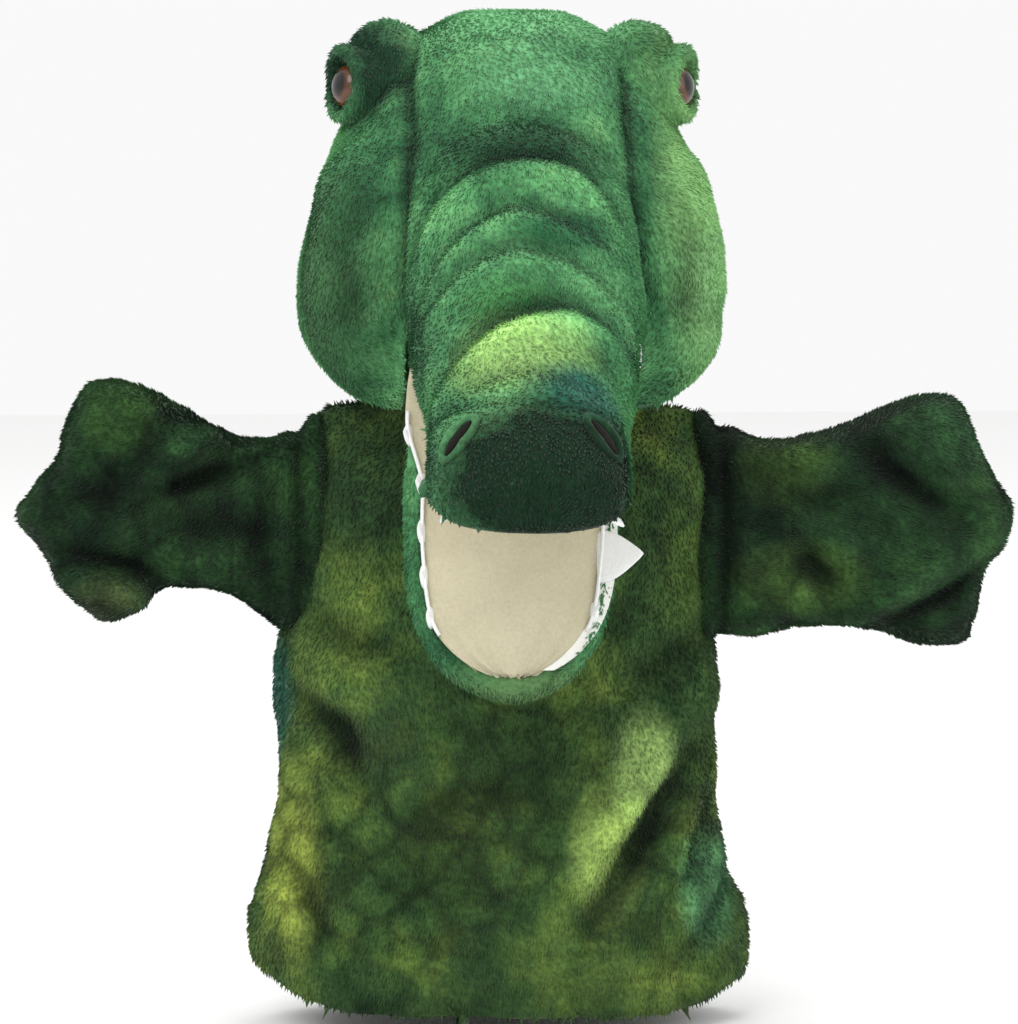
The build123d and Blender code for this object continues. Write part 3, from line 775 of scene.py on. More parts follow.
cloth = wear(piece("sleeve_lining", *walled(p, f, sleeveNormals[used], sleeve["lining"]), liningWeave),
             turning, ["front_lining", "back_lining", "neck_lining"])
2 * flatPanels["back"][0]
flatPanels["back"][1] - sleeve["hemTurn"] / 1000
print("sleeve made", len(sleeveFaces))


# ---- the head: skull and snout in one skin, cut into its sewn panels ----
headSizes = {"voxel": 1.7, "wall": 2.6, "seam": 30, "snoutSeam": 37, "nape": 22}
drops = {"palate": 28.0, "floor": 72.0}  # degrees below level
# distance from the fold, half width, height over the palate, how far it bends to one side
snoutStops = [(-30, 35, 49.5, 0), (0, 31.5, 44.5, 0), (32, 28, 31.5, -1.5), (58, 25.5, 25.5, -3.5),
              (74, 26, 23, -4.5), (86, 22, 17, -5), (92, 14, 10, -5), (94, 7, 5, -5)]
# share of the height, half width, half depth
skullStops = [(0.0, 50.5, 41.5), (0.15, 55.5, 46), (0.33, 58, 49), (0.60, 52, 46), (0.80, 41, 38),
              (0.93, 30, 27), (1.0, 15, 13)]
# wrinkles across the snout: (x, distance from the fold), depth, width, how far one side stands up
snoutFolds = [([(-30, -12), (-8, -17), (14, -15), (31, -3)], 3.4, 4.5, 0.9),
              ([(-28, 6), (-6, 2), (20, 8)], 2.2, 3.2, 0.6),
              ([(-30, 17), (-4, 15), (27, 22)], 1.8, 3.0, 0.7),
              ([(-27, 46), (-12, 37), (8, 31), (26, 34)], 3.4, 4.2, 0.9),
              ([(-20, 59), (-4, 57), (12, 62)], 1.2, 3.0, 0.3),
              ([(6, -34), (20, -30), (30, -24)], 1.6, 4.0, 0.4)]
snoutRaise = 1.3  # fullness that keeps the wadding under the wrinkles


def mouthFrame(drop):
    a = math.radians(drop)
    return np.array((0, -math.cos(a), -math.sin(a))), np.array((0, -math.sin(a), math.cos(a)))


palateAlong, palateUp = mouthFrame(drops["palate"])
floorAlong, floorUp = mouthFrame(drops["floor"])
xAxis = np.array((1.0, 0, 0))


def snoutField(points):
    rel = points - fold
    return rel @ palateAlong, rel @ palateUp


def seamHalf(points):
    # half the width of the middle strip: narrow on the skull, wide round the snout
    return headSizes["seam"] + (headSizes["snoutSeam"] - headSizes["seam"]) * rise(-points[:, 1], 42, 56)


def makeHead():
    tall = headTop - torsoTop
    levels = np.linspace(0, 1, 40)
    skull = [ring((0, -4, torsoTop - 2 + t * (tall + 1)), xAxis, (0, 1, 0), w, d, square=2.15)
             for t, (w, d) in zip(levels, flowing(skullStops, levels))]
    reach = np.linspace(snoutStops[0][0], snoutStops[-1][0], 50)
    snout = [ring(fold + palateAlong * d + xAxis * s, xAxis, palateUp, w, h, 1.5, square=2.15)
             for d, (w, h, s) in zip(reach, flowing(snoutStops, reach))]
    lobes = []
    for side in sides.values():  # the cheeks hang beside the jaw
        stops = [(170, 6, 8), (175, 12, 15), (184, 16, 21), (198, 17.5, 25), (220, 16, 22), (238, 11, 14),
                 (246, 4, 5)]
        zs = np.linspace(170, 246, 26)
        lobes.append(lofted([ring((side * (36 + 3.4 * rise(z, 170, 200)), -21, z), xAxis, (0, 1, 0), w, d)
                             for z, (w, d) in zip(zs, flowing(stops, zs))]))
    p, f = welded("head", [lofted(skull), lofted(snout)] + lobes, headSizes["voxel"], 7)
    n = normalsOf(p, f)
    distance, height = snoutField(p)
    move = 1.1 * wave(p, 38, 4) + 0.5 * wave(p, 13, 5)
    top = rise(height, 6, 14) * rise(n @ palateUp, 0.0, 0.5) * rise(distance, -40, -28) * (p[:, 1] < -20)
    creased = np.zeros(len(p))
    for path, fall, width, lean in snoutFolds:
        creased += top * crease(np.stack([p[:, 0], distance], 1), path, fall, width, lean)
    onCheek = rise(np.abs(p[:, 0]), 30, 36)
    side = np.stack([np.abs(p[:, 0]), p[:, 2]], 1)
    creased += onCheek * rise(-p[:, 1], 5, 20) * (crease(side, [(40, 236), (47, 214), (44, 190)], 1.8, 5.0, 0.4)
                                               + crease(side, [(38, 206), (50, 198), (58, 196)], 1.0, 5.0, 0.4))
    offSeam = np.abs(p[:, 0]) - seamHalf(p)
    high = rise(height, -4, 6)
    move += snoutRaise * top
    beforeNape = rise(-p[:, 1], -headSizes["nape"], -headSizes["nape"] + 4)
    creased -= 2.6 * np.exp(-(offSeam / 2.4) ** 2) * high * beforeNape
    creased -= 1.5 * np.exp(-((p[:, 1] - headSizes["nape"]) / 2.2) ** 2)
    noseSeam = np.exp(-((distance - 70 + 0.012 * p[:, 0] ** 2) / 1.7) ** 2)
    creased -= 0.8 * noseSeam * rise(height, 4, 10)
    move += creased
    p = p + n * move[:, None]
    edge = lambda q: q[:, 2] - torsoTop - 24 / 98 * (q[:, 1] + 49)
    slot = lambda q: np.abs(q[:, 0]) - 31.5
    tuck = np.clip(1 - edge(p) / 16, 0, 1.2) ** 2 * (np.abs(p[:, 0]) > 30)
    p[:, 0] *= 1 - 0.13 * tuck
    p[:, 1] *= 1 - 0.10 * tuck
    p = snapped(p, f, lambda q: q[:, 1] - headSizes["nape"])
    p = snapped(p, f, lambda q: np.abs(q[:, 0]) - seamHalf(q))
    p = snapped(p, f, edge)
    n = normalsOf(p, f)
    middle = p[f].mean(1)
    distance, height = snoutField(middle)
    under = (n[f].mean(1) @ palateUp < -0.6) & (distance > -4) & (height < 3)
    jawRoom = (slot(middle) < 0) & (height < -1) & (distance > -30) & (middle[:, 1] < 0)
    keep = (edge(middle) > 0) & ~under & ~jawRoom
    keep[keep] = largest(f[keep])
    p, f, used = part(p, f, keep)
    p = evenRim(p, f)
    # the last value is the crease depth, which the plush finish paints as shade in creases and highlight on ridges
    return p, f, normalsOf(p, f), creased[used] / 3.0


headPoints, headFaces, headNormals, headCreaseShading = makeHead()
headDown = np.where((snoutField(headPoints)[0] > -10)[:, None], palateAlong * 1.0, (0, -0.35, -1))
headLay = layOf(headPoints, headNormals, headDown, 0.5, 40)
headMiddle = headPoints[headFaces].mean(1)
strip = np.abs(headMiddle[:, 0]) < seamHalf(headMiddle)
nape = headMiddle[:, 1] > headSizes["nape"]
panels = {"crown_panel": strip & ~nape, "nape_panel": nape,
          "cheek_panel_left": ~strip & ~nape & (headMiddle[:, 0] < 0),
          "cheek_panel_right": ~strip & ~nape & (headMiddle[:, 0] > 0)}
# each panel's cloth and pile, riding on the head in place of its part
for k, (name, keep) in enumerate(panels.items()):
    cloth, tufts = clothPanel(name + "_cloth", headPoints, headFaces, headNormals, keep,
                              headSizes["wall"], headPlush, headLay, 30 + k, headCreaseShading, length=1.35)
    wear(cloth, "head", [name])
    wear(tufts, "head")
print("head made", len(headFaces))


# ---- the lower jaw ----
jawSizes = {"voxel": 1.5, "wall": 2.2, "rim": 4.6, "recess": 2.6}
# distance from the fold, half width, depth, how far the cloth sits to one side
jawStops = [(-9, 22, 12, -2.0), (6, 27, 16, -2.5), (34, 28, 23.5, -3.5), (58, 27.5, 22, -4.5), (77, 24, 17, -5),
            (87, 17.5, 12, -5), (92, 10.5, 8, -5), (94, 5, 4, -5)]


def makeJaw():
    reach = np.linspace(jawStops[0][0], jawStops[-1][0], 60)
    shape = flowing(jawStops, reach)
    rings = [ring(fold + floorAlong * d + floorUp * -4.5 + xAxis * s, xAxis, floorUp, w, 3.0, h, square=2.2)
             for d, (w, h, s) in zip(reach, shape)]
    p, f = welded("jaw", [lofted(rings)], jawSizes["voxel"], 4)
    n = normalsOf(p, f)
    rel = p - fold
    distance, height = rel @ floorAlong, rel @ floorUp
    at = flowing(jawStops, distance)
    inset = np.minimum(at[:, 0] - np.abs(p[:, 0] - at[:, 2]), (jawStops[-1][0] - distance) * 0.8)
    down = jawSizes["recess"] * rise(inset, jawSizes["rim"] - 2.2, jawSizes["rim"] + 0.4) * (n @ floorUp > 0.3)
    p = p - down[:, None] * floorUp
    n = normalsOf(p, f)
    move = 0.7 * wave(p, 24, 6) + 0.35 * wave(p, 9, 7)
    move += 1.6 * crease(np.stack([p[:, 0], distance], 1), [(-24, 80), (-6, 88), (14, 82)], 1, 2.5, 0.3) * (
        n @ floorUp < 0)
    p = p + n * (move * (height < 0))[:, None]
    middle = p[f].mean(1)
    keep = (middle - fold) @ floorAlong > jawStops[0][0] + 1.5
    p, f, used = part(p, f, keep)
    p = evenRim(p, f)
    return p, f, normalsOf(p, f)


jawPoints, jawFaces, jawNormals = makeJaw()
jawLay = layOf(jawPoints, jawNormals, floorAlong, 0.4, 50)
cloth = piece("chin_panel_cloth", *walled(jawPoints, jawFaces, jawNormals, jawSizes["wall"]), jawPlush)
wear(cloth, "lower_jaw", ["chin_panel"])
rel = jawPoints[jawFaces].mean(1) - fold
at = flowing(jawStops, rel @ floorAlong)
bare = (jawNormals[jawFaces].mean(1) @ floorUp > 0.55) & (at[:, 0] - np.abs(rel[:, 0] - at[:, 2]) > jawSizes["rim"])
lapped = (rel[:, 0] < -15) & (rel @ floorAlong < 32) & (jawNormals[jawFaces].mean(1) @ floorUp > -0.2)
p, f, used = part(jawPoints, jawFaces, ~bare & ~lapped)
wear(pile("chin_panel_pile", p, f, jawLay[used], jawPlush, 51, length=1.6), "lower_jaw")
print("jaw made", len(jawFaces))


# ---- the mouth's lining: one cream cloth over the palate, the fold and the floor ----
mouthSizes = {"rows": 150, "columns": 56, "thick": 1.3, "palateEnd": 89, "floorEnd": 89.5, "foldRound": 3.2}


def mouthSurface(s, t):
    # s runs from the palate's tip through the fold to the jaw's tip, t from side to side
    bend = mouthSizes["foldRound"]
    total = mouthSizes["palateEnd"] + mouthSizes["floorEnd"]
    d = s * total - mouthSizes["palateEnd"]
    share = rise(d, -bend, bend)
    onPalate, onFloor = np.maximum(-d, 0), np.maximum(d, 0)
    palate = flowing(snoutStops, onPalate)
    palateWide = palate[:, 0] - 4.0
    jaw = flowing(jawStops, onFloor)
    floorWide, aside = jaw[:, 0] - jawSizes["rim"] + 0.9, jaw[:, 2]
    ends = np.sqrt(np.clip(1 - np.clip((np.abs(d + (mouthSizes["palateEnd"] - mouthSizes["floorEnd"]) / 2)
                                          - total / 2 + 16) / 16, 0, 1) ** 2, 0.02, 1))
    # on one side, near the fold, it laps out over the jaw's edge
    lap = (1 - rise(onFloor, 20, 40)) * share * (t < 0)
    wide = (palateWide * (1 - share) + (floorWide + lap * jawSizes["rim"]) * share) * np.where(np.abs(d) > 60, ends**0.6, 1)
    p = fold + palateAlong * onPalate[:, None] + floorAlong * onFloor[:, None]
    up = -palateUp * (1 - share)[:, None] + floorUp * share[:, None]
    lift = np.where(d < 0, 0.6, -1.2 - 0.6 * rise(d, 0, 8))
    edge = np.abs(t) ** 6
    lift = lift - 1.2 * edge + 1.2 * (1 - t**2) * rise(np.abs(d), 10, 40)
    lift = lift + 3.2 * lap * np.abs(t) ** 3
    tip = rise(onFloor, 66, 87)
    lift = lift + tip * 0.7 * np.sin(t * 17) * np.abs(t) ** 0.5 - tip * 1.2
    across = aside * share + palate[:, 2] * (1 - share)
    return p + up * lift[:, None] + xAxis * (wide * t + across)[:, None]


def gridSheet(surface, rows, columns):
    s, t = np.meshgrid(np.linspace(0, 1, rows), np.linspace(-1, 1, columns), indexing="ij")
    p = surface(s.ravel(), t.ravel())
    i = np.arange(rows * columns).reshape(rows, columns)
    a, b, c, d = i[:-1, :-1].ravel(), i[1:, :-1].ravel(), i[1:, 1:].ravel(), i[:-1, 1:].ravel()
    return p, np.vstack([np.stack([a, b, c], 1), np.stack([a, c, d], 1)])


p, f = gridSheet(mouthSurface, mouthSizes["rows"], mouthSizes["columns"])
if (normalsOf(p, f)[len(p) * 3 // 4] @ floorUp) < 0:
    f = f[:, ::-1]
n = normalsOf(p, f)
p = p + n * (0.35 * wave(p, 12, 8) + 0.12 * wave(p, 4, 9))[:, None]
lining = piece("mouth_lining", *walled(p, f, n, mouthSizes["thick"]), mouthNap)
across = unit(floorAlong - palateAlong)
gape = 0.0035
wear(lining, ("head", "lower_jaw", (fold / 1000 - across * gape).tolist(), (fold / 1000 + across * gape).tolist()),
     ["palate_lining", "mouth_floor_lining", "mouth_fold"])
print("mouth lined")


# ---- teeth: white felt on both edges of the mouth ----
toothSizes = {"thick": 0.8, "strip": 1.1, "stripThick": 0.5}
# distance from the fold, how far it stands, width of its base, degrees it leans outwards
upperTeeth = {"left": [(18, 3.0, 6, 20), (34, 3.5, 6, 25), (52, 4.5, 7, 30), (66, 4.0, 6, 30), (80, 5.5, 7, 35)],
              "right": [(18, 3.0, 6, 20), (34, 3.5, 6, 25), (52, 4.0, 7, 30), (66, 4.0, 6, 30), (81, 8.0, 8, 48)]}
lowerTeeth = {"left": [(24, 2.5, 6, 15), (37, 3.5, 7, 20), (50, 3.5, 7, 15), (62, 3.0, 7, 10), (73, 3.0, 6, 10)],
              "right": [(24, 3.0, 6, 30), (36, 4.0, 7, 35), (44, 6.0, 7, 55), (57, 11.5, 14, 74), (72, 3.0, 6, 20)]}


def edgeOf(distance, side):
    # the place on the lining's edge; negative distances are on the palate
    s = (np.atleast_1d(distance) + mouthSizes["palateEnd"]) / (mouthSizes["palateEnd"] + mouthSizes["floorEnd"])
    return mouthSurface(s, np.full(len(s), side * 0.985))


def toothForm(root, along, out, stand, wide, curl):
    face = unit(np.cross(along, out))
    t = np.linspace(0, 1, 12)
    rings = []
    for k in t:
        half = wide / 2 * (1 - k) ** 0.75 * (1 + 0.25 * math.sin(math.pi * k)) + 0.15
        thick = toothSizes["thick"] * (0.35 + 0.65 * math.sqrt(max(0, 1 - k))) * (1 + 0.5 * math.sin(math.pi * k))
        centre = root + out * (stand * k - 1.0) + face * curl * k * k
        rings.append(ring(centre, along, face, half, thick, square=2.4, count=20))
    return lofted(rings)


def stripForm(distances, side, up):
    middle = edgeOf(distances, side)
    rings = []
    for i, at in enumerate(middle):
        along = unit(middle[min(i + 1, len(middle) - 1)] - middle[max(i - 1, 0)])
        end = math.sqrt(max(0.05, 1 - (2 * i / (len(middle) - 1) - 1) ** 8))
        rings.append(ring(at + up * 0.9, up, unit(np.cross(along, up)), toothSizes["strip"] * end,
                          toothSizes["stripThick"], count=16))
    return lofted(rings)


def joined(solids):
    points, faces, base = [], [], 0
    for p, f in solids:
        points.append(p)
        faces += [tuple(base + i for i in face) for face in f]
        base += len(p)
    return np.vstack(points), faces


def feltTeeth(name, teeth, side, sign, along, up):
    solids = []
    distances = [tooth[0] for tooth in teeth]
    for distance, stand, wide, lean in teeth:
        a = math.radians(lean)
        out = unit(up * math.cos(a) + xAxis * side * math.sin(a))
        solids.append(toothForm(edgeOf(sign * distance, side)[0], along, out, stand + 1.0, wide,
                                side * 0.8 * math.sin(distance)))
    solids.append(stripForm(sign * np.linspace(min(distances) - 6, max(distances) + 5, 40), side, up))
    points, faces = joined(solids)
    item = piece(name, points, faces, whiteFelt)
    outwards(item.data)
    return item


for name, side in sides.items():
    for jaw, teeth, sign, along, up, body in (("upper", upperTeeth, -1, palateAlong, -palateUp, "head"),
                                              ("lower", lowerTeeth, 1, floorAlong, floorUp, "lower_jaw")):
        wear(feltTeeth(f"{jaw}_teeth_felt_{name}", teeth[name], side, sign, along, up), body,
             [f"{jaw}_teeth_{name}"])
print("teeth made")


# ---- brows: stuffed mounds with lids round the eyes ----
browSizes = {"reach": (14.3, 14.0, 19.0), "lidRadius": 8.4, "lidThick": 2.6, "voxel": 1.1, "hollow": 5.2,
             "eyeTurn": 25, "eyeLift": 8}


def eyeFacing(side):
    turn, lift = math.radians(browSizes["eyeTurn"]), math.radians(browSizes["eyeLift"])
    return np.array((side * math.cos(turn) * math.cos(lift), -math.sin(turn) * math.cos(lift), math.sin(lift)))


def makeBrow(name, side):
    low, high = boxOf(f"brow_panel_{name}")
    eyeLow, eyeHigh = boxOf(f"eye_{name}")
    eye = (eyeLow + eyeHigh) / 2
    outward = eyeFacing(side)
    centre = eye - outward * 11.5 + np.array((0, 0, 0.5))
    across = unit(np.cross((0, 0, 1.0), outward))
    up = unit(np.cross(outward, across))
    wide, deep, tall = browSizes["reach"]
    t = np.linspace(-1, 1, 26)
    mound = lofted([ring(centre + np.array((0, 0, 1.0)) * tall * k, xAxis, (0, 1, 0),
                         wide * math.sqrt(max(0.01, 1 - k * k)), deep * math.sqrt(max(0.01, 1 - k * k)), count=48)
                    for k in t])
    lids = []
    for k in range(40):  # a ring of cloth round the eye, heavier above it
        a = 2 * math.pi * k / 40
        way = across * math.cos(a) * 0.9 + up * math.sin(a) * 1.05
        heavy = browSizes["lidThick"] * (1 + 0.35 * math.sin(a))
        middle = eye + way * browSizes["lidRadius"] + outward * (0.4 + 1.3 * abs(math.sin(a)))
        lids.append(ring(middle, unit(way), outward, heavy, heavy * 1.15, count=16))
    points = np.vstack(lids)
    faces = [(16 * i + j, 16 * i + (j + 1) % 16, 16 * ((i + 1) % 40) + (j + 1) % 16, 16 * ((i + 1) % 40) + j)
             for i in range(40) for j in range(16)]
    p, f = welded("brow", [mound, (points, faces)], browSizes["voxel"], 5)
    n = normalsOf(p, f)
    rel = p - eye
    depth = rel @ outward
    away = np.linalg.norm(rel - depth[:, None] * outward, axis=1)
    # the socket: skin in front of the eye goes back behind its rim
    push = np.where(away < browSizes["lidRadius"] - 1.6, np.clip(depth + browSizes["hollow"], 0, 20), 0)
    p = p - outward * push[:, None]
    lidLine = np.exp(-((away - 12.5) / 1.6) ** 2) * rise(depth, -12, -4)
    p = p + n * (0.5 * wave(p, 9, 60) - 1.2 * lidLine)[:, None]
    return p, f, normalsOf(p, f)


for name, side in sides.items():
    p, f, n = makeBrow(name, side)
    cloth = piece(f"brow_cushion_{name}", p, f, headPlush)
    wear(cloth, "head", [f"brow_panel_{name}", f"brow_wadding_{name}"])
    lay = layOf(p, n, (side * 0.4, 0.3, -1), 0.4, 61)
    wear(pile(f"brow_pile_{name}", p, f, lay, headPlush, 62, length=1.3), "head")
print("brows made")


# ---- nostrils: slits of dark felt in raised rims ----
nostrilSizes = {"distance": 76, "tall": 5.6, "wide": 1.5, "rim": 1.25, "turn": 50}


def slitFrame(side):
    # where the slit sits on the nose, which way it faces and which way it runs
    half, tall, aside = flowing(snoutStops, nostrilSizes["distance"])[0]
    a = math.radians(nostrilSizes["turn"])
    rim = np.array((aside + side * half * math.cos(a) ** (2 / 2.15), 0, 0)) + palateUp * tall * math.sin(a) ** (2 / 2.15)
    at = fold + palateAlong * nostrilSizes["distance"] + rim
    gap = ((headPoints - at) ** 2).sum(1).argmin()
    out = unit(headNormals[gap] + 0.2 * palateAlong)
    run = unit(np.cross(out, unit(np.cross((side * 0.45, 0.25, -1.0), out))))
    return headPoints[gap], out, unit(run)


for name, side in sides.items():
    at, out, run = slitFrame(side)
    across = unit(np.cross(out, run))
    t = np.linspace(-1, 1, 16)
    slit = lofted([ring(at + run * nostrilSizes["tall"] * k + out * (0.9 - 0.9 * k * k), across, out,
                        nostrilSizes["wide"] * math.sqrt(max(0.03, 1 - k * k)), 0.9, 1.6, count=20) for k in t])
    wear(piece(f"nostril_slit_{name}", *slit, nostrilFelt), "head", [f"nostril_{name}"])
    ringed = []
    for k in range(36):
        a = 2 * math.pi * k / 36
        way = run * (nostrilSizes["tall"] + 0.8) * math.cos(a) + across * (nostrilSizes["wide"] + 0.9) * math.sin(a)
        way = at + way + out * (1.1 - 1.0 * math.cos(a) ** 2)
        toward = unit(way - at - out * ((way - at) @ out))
        ringed.append(ring(way, toward, out, nostrilSizes["rim"], nostrilSizes["rim"], count=12))
    points = np.vstack(ringed)
    faces = [(12 * i + j, 12 * i + (j + 1) % 12, 12 * ((i + 1) % 36) + (j + 1) % 12, 12 * ((i + 1) % 36) + j)
             for i in range(36) for j in range(12)]
    item = piece(f"nostril_rim_{name}", points, faces, headPlush)
    outwards(item.data)
    wear(item, "head")
print("nostrils made")


# ---- arms: stuffed, flat, three-fingered, each joined at the shoulder ----
armSizes = {"cell": 1.4, "voxel": 1.7, "full": 15.5, "puff": 2.35, "cut": 77, "wall": 2.2}
# outlines from the armhole's top round the hand and back, as (x, z)
armOutlines = {
    "right": [(50, 167), (60, 166.5), (70, 162.5), (82, 163), (94, 166), (107, 171.5), (118, 175.3), (126.5, 173),
              (130.5, 163), (136, 151), (141.5, 142.5), (140.5, 134), (134, 124), (131.5, 112), (127, 103.5),
              (113, 104), (99, 108.3), (84, 109.5), (72, 107), (60, 105.5), (50, 106)],
    "left": [(-50, 167), (-60, 165.5), (-70, 162.5), (-82, 166), (-95, 174), (-107, 179.5), (-117, 179.5),
             (-121.8, 170), (-126, 157), (-134, 147.5), (-137.5, 141), (-130, 132.5), (-126, 126), (-120, 117),
             (-113, 111.5), (-104, 114.5), (-96.5, 120.5), (-86, 121), (-76, 118), (-66, 111), (-58, 108),
             (-50, 108)],
}
armFolds = {
    "right": [([(96, 163), (108, 152), (124, 141)], 3.4, 4.5, 0.7), ([(102, 110), (118, 118), (134, 127)], 3.0, 3.5, 0.9),
              ([(70, 150), (84, 146), (96, 150)], 1.8, 5.0, 0.5), ([(68, 126), (82, 128), (100, 122)], 1.6, 5.0, 0.4),
              ([(78, 134), (86, 124), (90, 112)], 1.6, 4.0, 0.4)],
    "left": [([(-97, 149), (-87, 153), (-76, 157)], 3.8, 4.0, 0.9), ([(-94, 121), (-104, 128), (-128, 133)], 3.2, 3.5, 0.9),
             ([(-70, 140), (-84, 138), (-98, 142)], 1.8, 5.0, 0.5), ([(-104, 160), (-112, 150), (-124, 146)], 1.6, 5.0, 0.3),
             ([(-66, 150), (-70, 134), (-64, 118)], 1.8, 4.0, 0.4)],
}


def closedCurve(stops, each=10):
    stops = np.asarray(stops, float)
    out = []
    for i in range(len(stops)):
        a, b, c, d = (stops[(i + k) % len(stops)] for k in (-1, 0, 1, 2))
        for t in np.linspace(0, 1, each, endpoint=False):
            out.append(0.5 * (2 * b + (c - a) * t + (2 * a - 5 * b + 4 * c - d) * t**2 + (3 * b - a - 3 * c + d) * t**3))
    return np.array(out)


def pillow(outline, cell, puff, full):
    # a flat outline blown up like a sewn bag; closed, with its seam on the outline
    low, high = outline.min(0) - 2 * cell, outline.max(0) + 2 * cell
    xs, zs = np.arange(low[0], high[0], cell), np.arange(low[1], high[1], cell)
    gx, gz = np.meshgrid(xs, zs, indexing="ij")
    inside = np.zeros(gx.shape, bool)
    for (x0, z0), (x1, z1) in zip(outline, np.roll(outline, -1, axis=0)):
        crosses = (z0 > gz) != (z1 > gz)
        inside ^= crosses & (gx < (x1 - x0) * (gz - z0) / (z1 - z0 + 1e-12) + x0)
    core = inside.copy()
    core[1:-1, 1:-1] = inside[1:-1, 1:-1] & inside[:-2, 1:-1] & inside[2:, 1:-1] & inside[1:-1, :-2] & inside[1:-1, 2:]
    level = np.zeros(gx.shape)
    for _ in range(900):
        around = np.zeros(gx.shape)
        around[1:-1, 1:-1] = (level[:-2, 1:-1] + level[2:, 1:-1] + level[1:-1, :-2] + level[1:-1, 2:] + cell**2) / 4
        level = np.where(core, around, 0)
    height = puff * np.sqrt(level)
    height = full * np.tanh(height / full)
    index = -np.ones(gx.shape, int)
    index[inside] = np.arange(inside.sum())
    count = int(inside.sum())
    front = np.stack([gx[inside], -height[inside], gz[inside]], 1)
    back = front * (1, -1, 1)
    a, b, c, d = index[:-1, :-1], index[1:, :-1], index[1:, 1:], index[:-1, 1:]
    whole = (a >= 0) & (b >= 0) & (c >= 0) & (d >= 0)
    quads = np.stack([a[whole], b[whole], c[whole], d[whole]], 1)
    return np.vstack([front, back]), np.vstack([quads, quads[:, ::-1] + count])


def capped(points, faces):
    # closes each open end with a fan
    edges = np.vstack([faces[:, [0, 1]], faces[:, [1, 2]], faces[:, [2, 0]]])
    _, first, counts = np.unique(np.sort(edges, axis=1), axis=0, return_index=True, return_counts=True)
    rim = edges[first[counts == 1]]
    middle = points[np.unique(rim)].mean(0)
    fan = np.stack([rim[:, 1], rim[:, 0], np.full(len(rim), len(points))], 1)
    return np.vstack([points, middle]), np.vstack([faces, fan])


def makeArm(name, side):
    outline = closedCurve(armOutlines[name])
    p, f = welded("arm", [pillow(outline, armSizes["cell"], armSizes["puff"], armSizes["full"])],
                  armSizes["voxel"], 5)
    n = normalsOf(p, f)
    flat = p[:, [0, 2]]
    move = 1.0 * wave(p, 30, 70 + side) + 0.6 * wave(p, 11, 72 + side)
    front = rise(-n[:, 1], 0.1, 0.5)
    creased = np.zeros(len(p))
    for path, fall, width, lean in armFolds[name]:
        creased += 1.5 * front * crease(flat, path, fall, width, lean)
        creased += (1 - front) * rise(n[:, 1], 0.1, 0.5) * crease(flat, path, fall * 0.5, width * 1.4, lean)
    armhole = np.abs(p[:, 0]) - 58.5
    creased -= 2.0 * np.exp(-(armhole / 2.6) ** 2)
    p = p + n * (move + creased)[:, None]
    p = snapped(p, f, lambda q: np.abs(q[:, 0]) - armSizes["cut"])
    # the last value is the crease depth, which the plush finish paints as shade in creases and highlight on ridges
    return p, f, normalsOf(p, f), creased / 3.0


for name, side in sides.items():
    p, f, n, creased = makeArm(name, side)
    lay = layOf(p, n, (side * 0.9, 0, -0.4), 0.5, 74 + side)
    outer = np.abs(p[f].mean(1)[:, 0]) > armSizes["cut"]
    joint = jointAt[f"{name}_arm_raise"] / 1000
    at = lambda x: (side * x / 1000, float(joint[1]), float(joint[2]))
    jobs = ((f"shoulder_{name}", ~outer, ("torso", f"{name}_shoulder", at(57), at(76)), [f"shoulder_gather_{name}"]),
            (f"arm_{name}", outer, (f"{name}_shoulder", f"{name}_arm", at(77.5), at(94)),
             [f"arm_front_panel_{name}", f"arm_back_panel_{name}", f"arm_wadding_{name}"]))
    for label, keep, how, stood in jobs:
        q, g, used = part(p, f, keep)
        q = evenRim(q, g, 3)
        wear(piece(label + "_cushion", *capped(q, g), armPlush, np.append(creased[used], 0)), how,
             stood)
        wear(pile(label + "_pile", q, g, lay[used], armPlush, 76 + side, creased[used]), how)
print("arms made")


# ---- the parts that keep their own shapes, with their materials ----
def eyeFinish(name, side):
    low, high = boxOf(f"eye_{name}")
    eye = (low + high) / 2
    outward = eyeFacing(side)
    f = Finish(f"eye_plastic_{name}", roughness=0.22, specular=0.35)
    f.shader.inputs["Coat Weight"].default_value = 0.25
    f.shader.inputs["Coat Roughness"].default_value = 0.06
    away = f.near(eye + outward * 2.2, 9.0, 1.0)
    grain = f.noise(1.6, detail=3)
    iris = f.mix(grain, (0.045, 0.014, 0.005), (0.15, 0.055, 0.018))
    rim = ((away - 0.18) * 8).clamped()
    pupil = ((away - 0.52) * 14).clamped()
    colour = f.mix(rim, (0.015, 0.006, 0.003), iris)
    f.colour(f.mix(pupil, colour, (0.002, 0.0015, 0.001)))
    return f.material


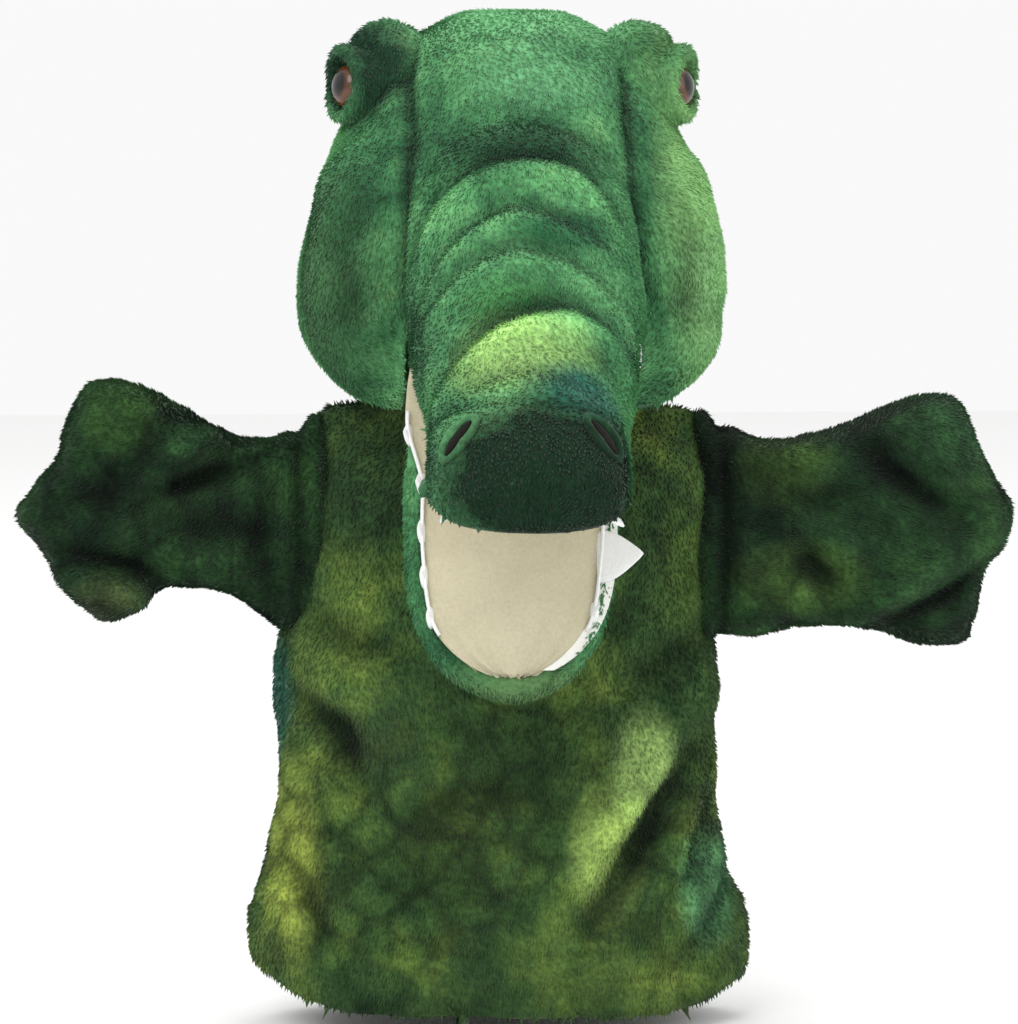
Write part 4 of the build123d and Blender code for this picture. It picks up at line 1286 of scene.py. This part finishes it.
eyeFinishes = {name: eyeFinish(name, side) for name, side in sides.items()}
finishOf = {"green_plush": headPlush, "dark_plush": armPlush, "mouth_plush": mouthNap, "plain_lining": liningWeave,
            "wadding": waddingNap, "foam_board": foamSheet, "white_felt": whiteFelt, "nostril_felt": nostrilFelt,
            "washer_plastic": washerPlastic, "woven_label": labelSatin}
for node, item in frame["nodes"].items():
    for holder in item.material_slots:
        kind = holder.material.name.split(".")[0]
        if kind == "eye_plastic":
            holder.material = eyeFinishes["left" if node.endswith("left") else "right"]
        elif kind in finishOf:
            holder.material = finishOf[kind]
print("parts finished")


# ---- floor, light and camera ----
def makeStage():
    floor = piece("floor", [(-3000, -3000, -1), (3000, -3000, -1), (3000, 3000, -1), (-3000, 3000, -1)],
                  [(0, 1, 2, 3)], smoothFinish("floor_paint", (0.88, 0.88, 0.87), (0.9, 0.9, 0.9), 0.9, 300, 0.0))
    world = bpy.data.worlds.new("studio")
    world.use_nodes = True
    world.node_tree.nodes["Background"].inputs["Color"].default_value = (1, 1, 1, 1)
    world.node_tree.nodes["Background"].inputs["Strength"].default_value = 0.95
    bpy.context.scene.world = world
    for name, at, size, power in (("key", (-0.9, -1.4, 1.5), 1.2, 22), ("fill", (1.3, -1.1, 0.8), 1.4, 9),
                                  ("top", (0.1, 0.2, 1.9), 1.2, 10)):
        light = bpy.data.lights.new(name, "AREA")
        light.energy, light.size = power, size
        item = bpy.data.objects.new(name, light)
        item.location = at
        item.rotation_euler = (Vector((0, 0, 0.15)) - Vector(at)).to_track_quat("-Z", "Y").to_euler()
        bpy.context.scene.collection.objects.link(item)


view = {"turn": -4.5, "rise": 4.5, "away": 1.25, "look": (0.000, 0.0, 0.1416), "lens": 85.0, "wide": 0.2835}


def makeCamera():
    turn, up = math.radians(view["turn"]), math.radians(view["rise"])
    back = Vector((math.sin(turn) * math.cos(up), -math.cos(turn) * math.cos(up), math.sin(up)))
    camera = bpy.data.cameras.new("camera")
    camera.lens = view["lens"]
    camera.sensor_fit = "AUTO"
    camera.sensor_width = view["lens"] * view["wide"] * 1024 / 1018 / view["away"]
    item = bpy.data.objects.new("camera", camera)
    item.location = Vector(view["look"]) + back * view["away"]
    item.rotation_euler = (-back).to_track_quat("-Z", "Y").to_euler()
    bpy.context.scene.collection.objects.link(item)
    bpy.context.scene.camera = item


makeStage()
makeCamera()
bpy.context.scene.view_settings.view_transform = "Standard"
print("stage made")
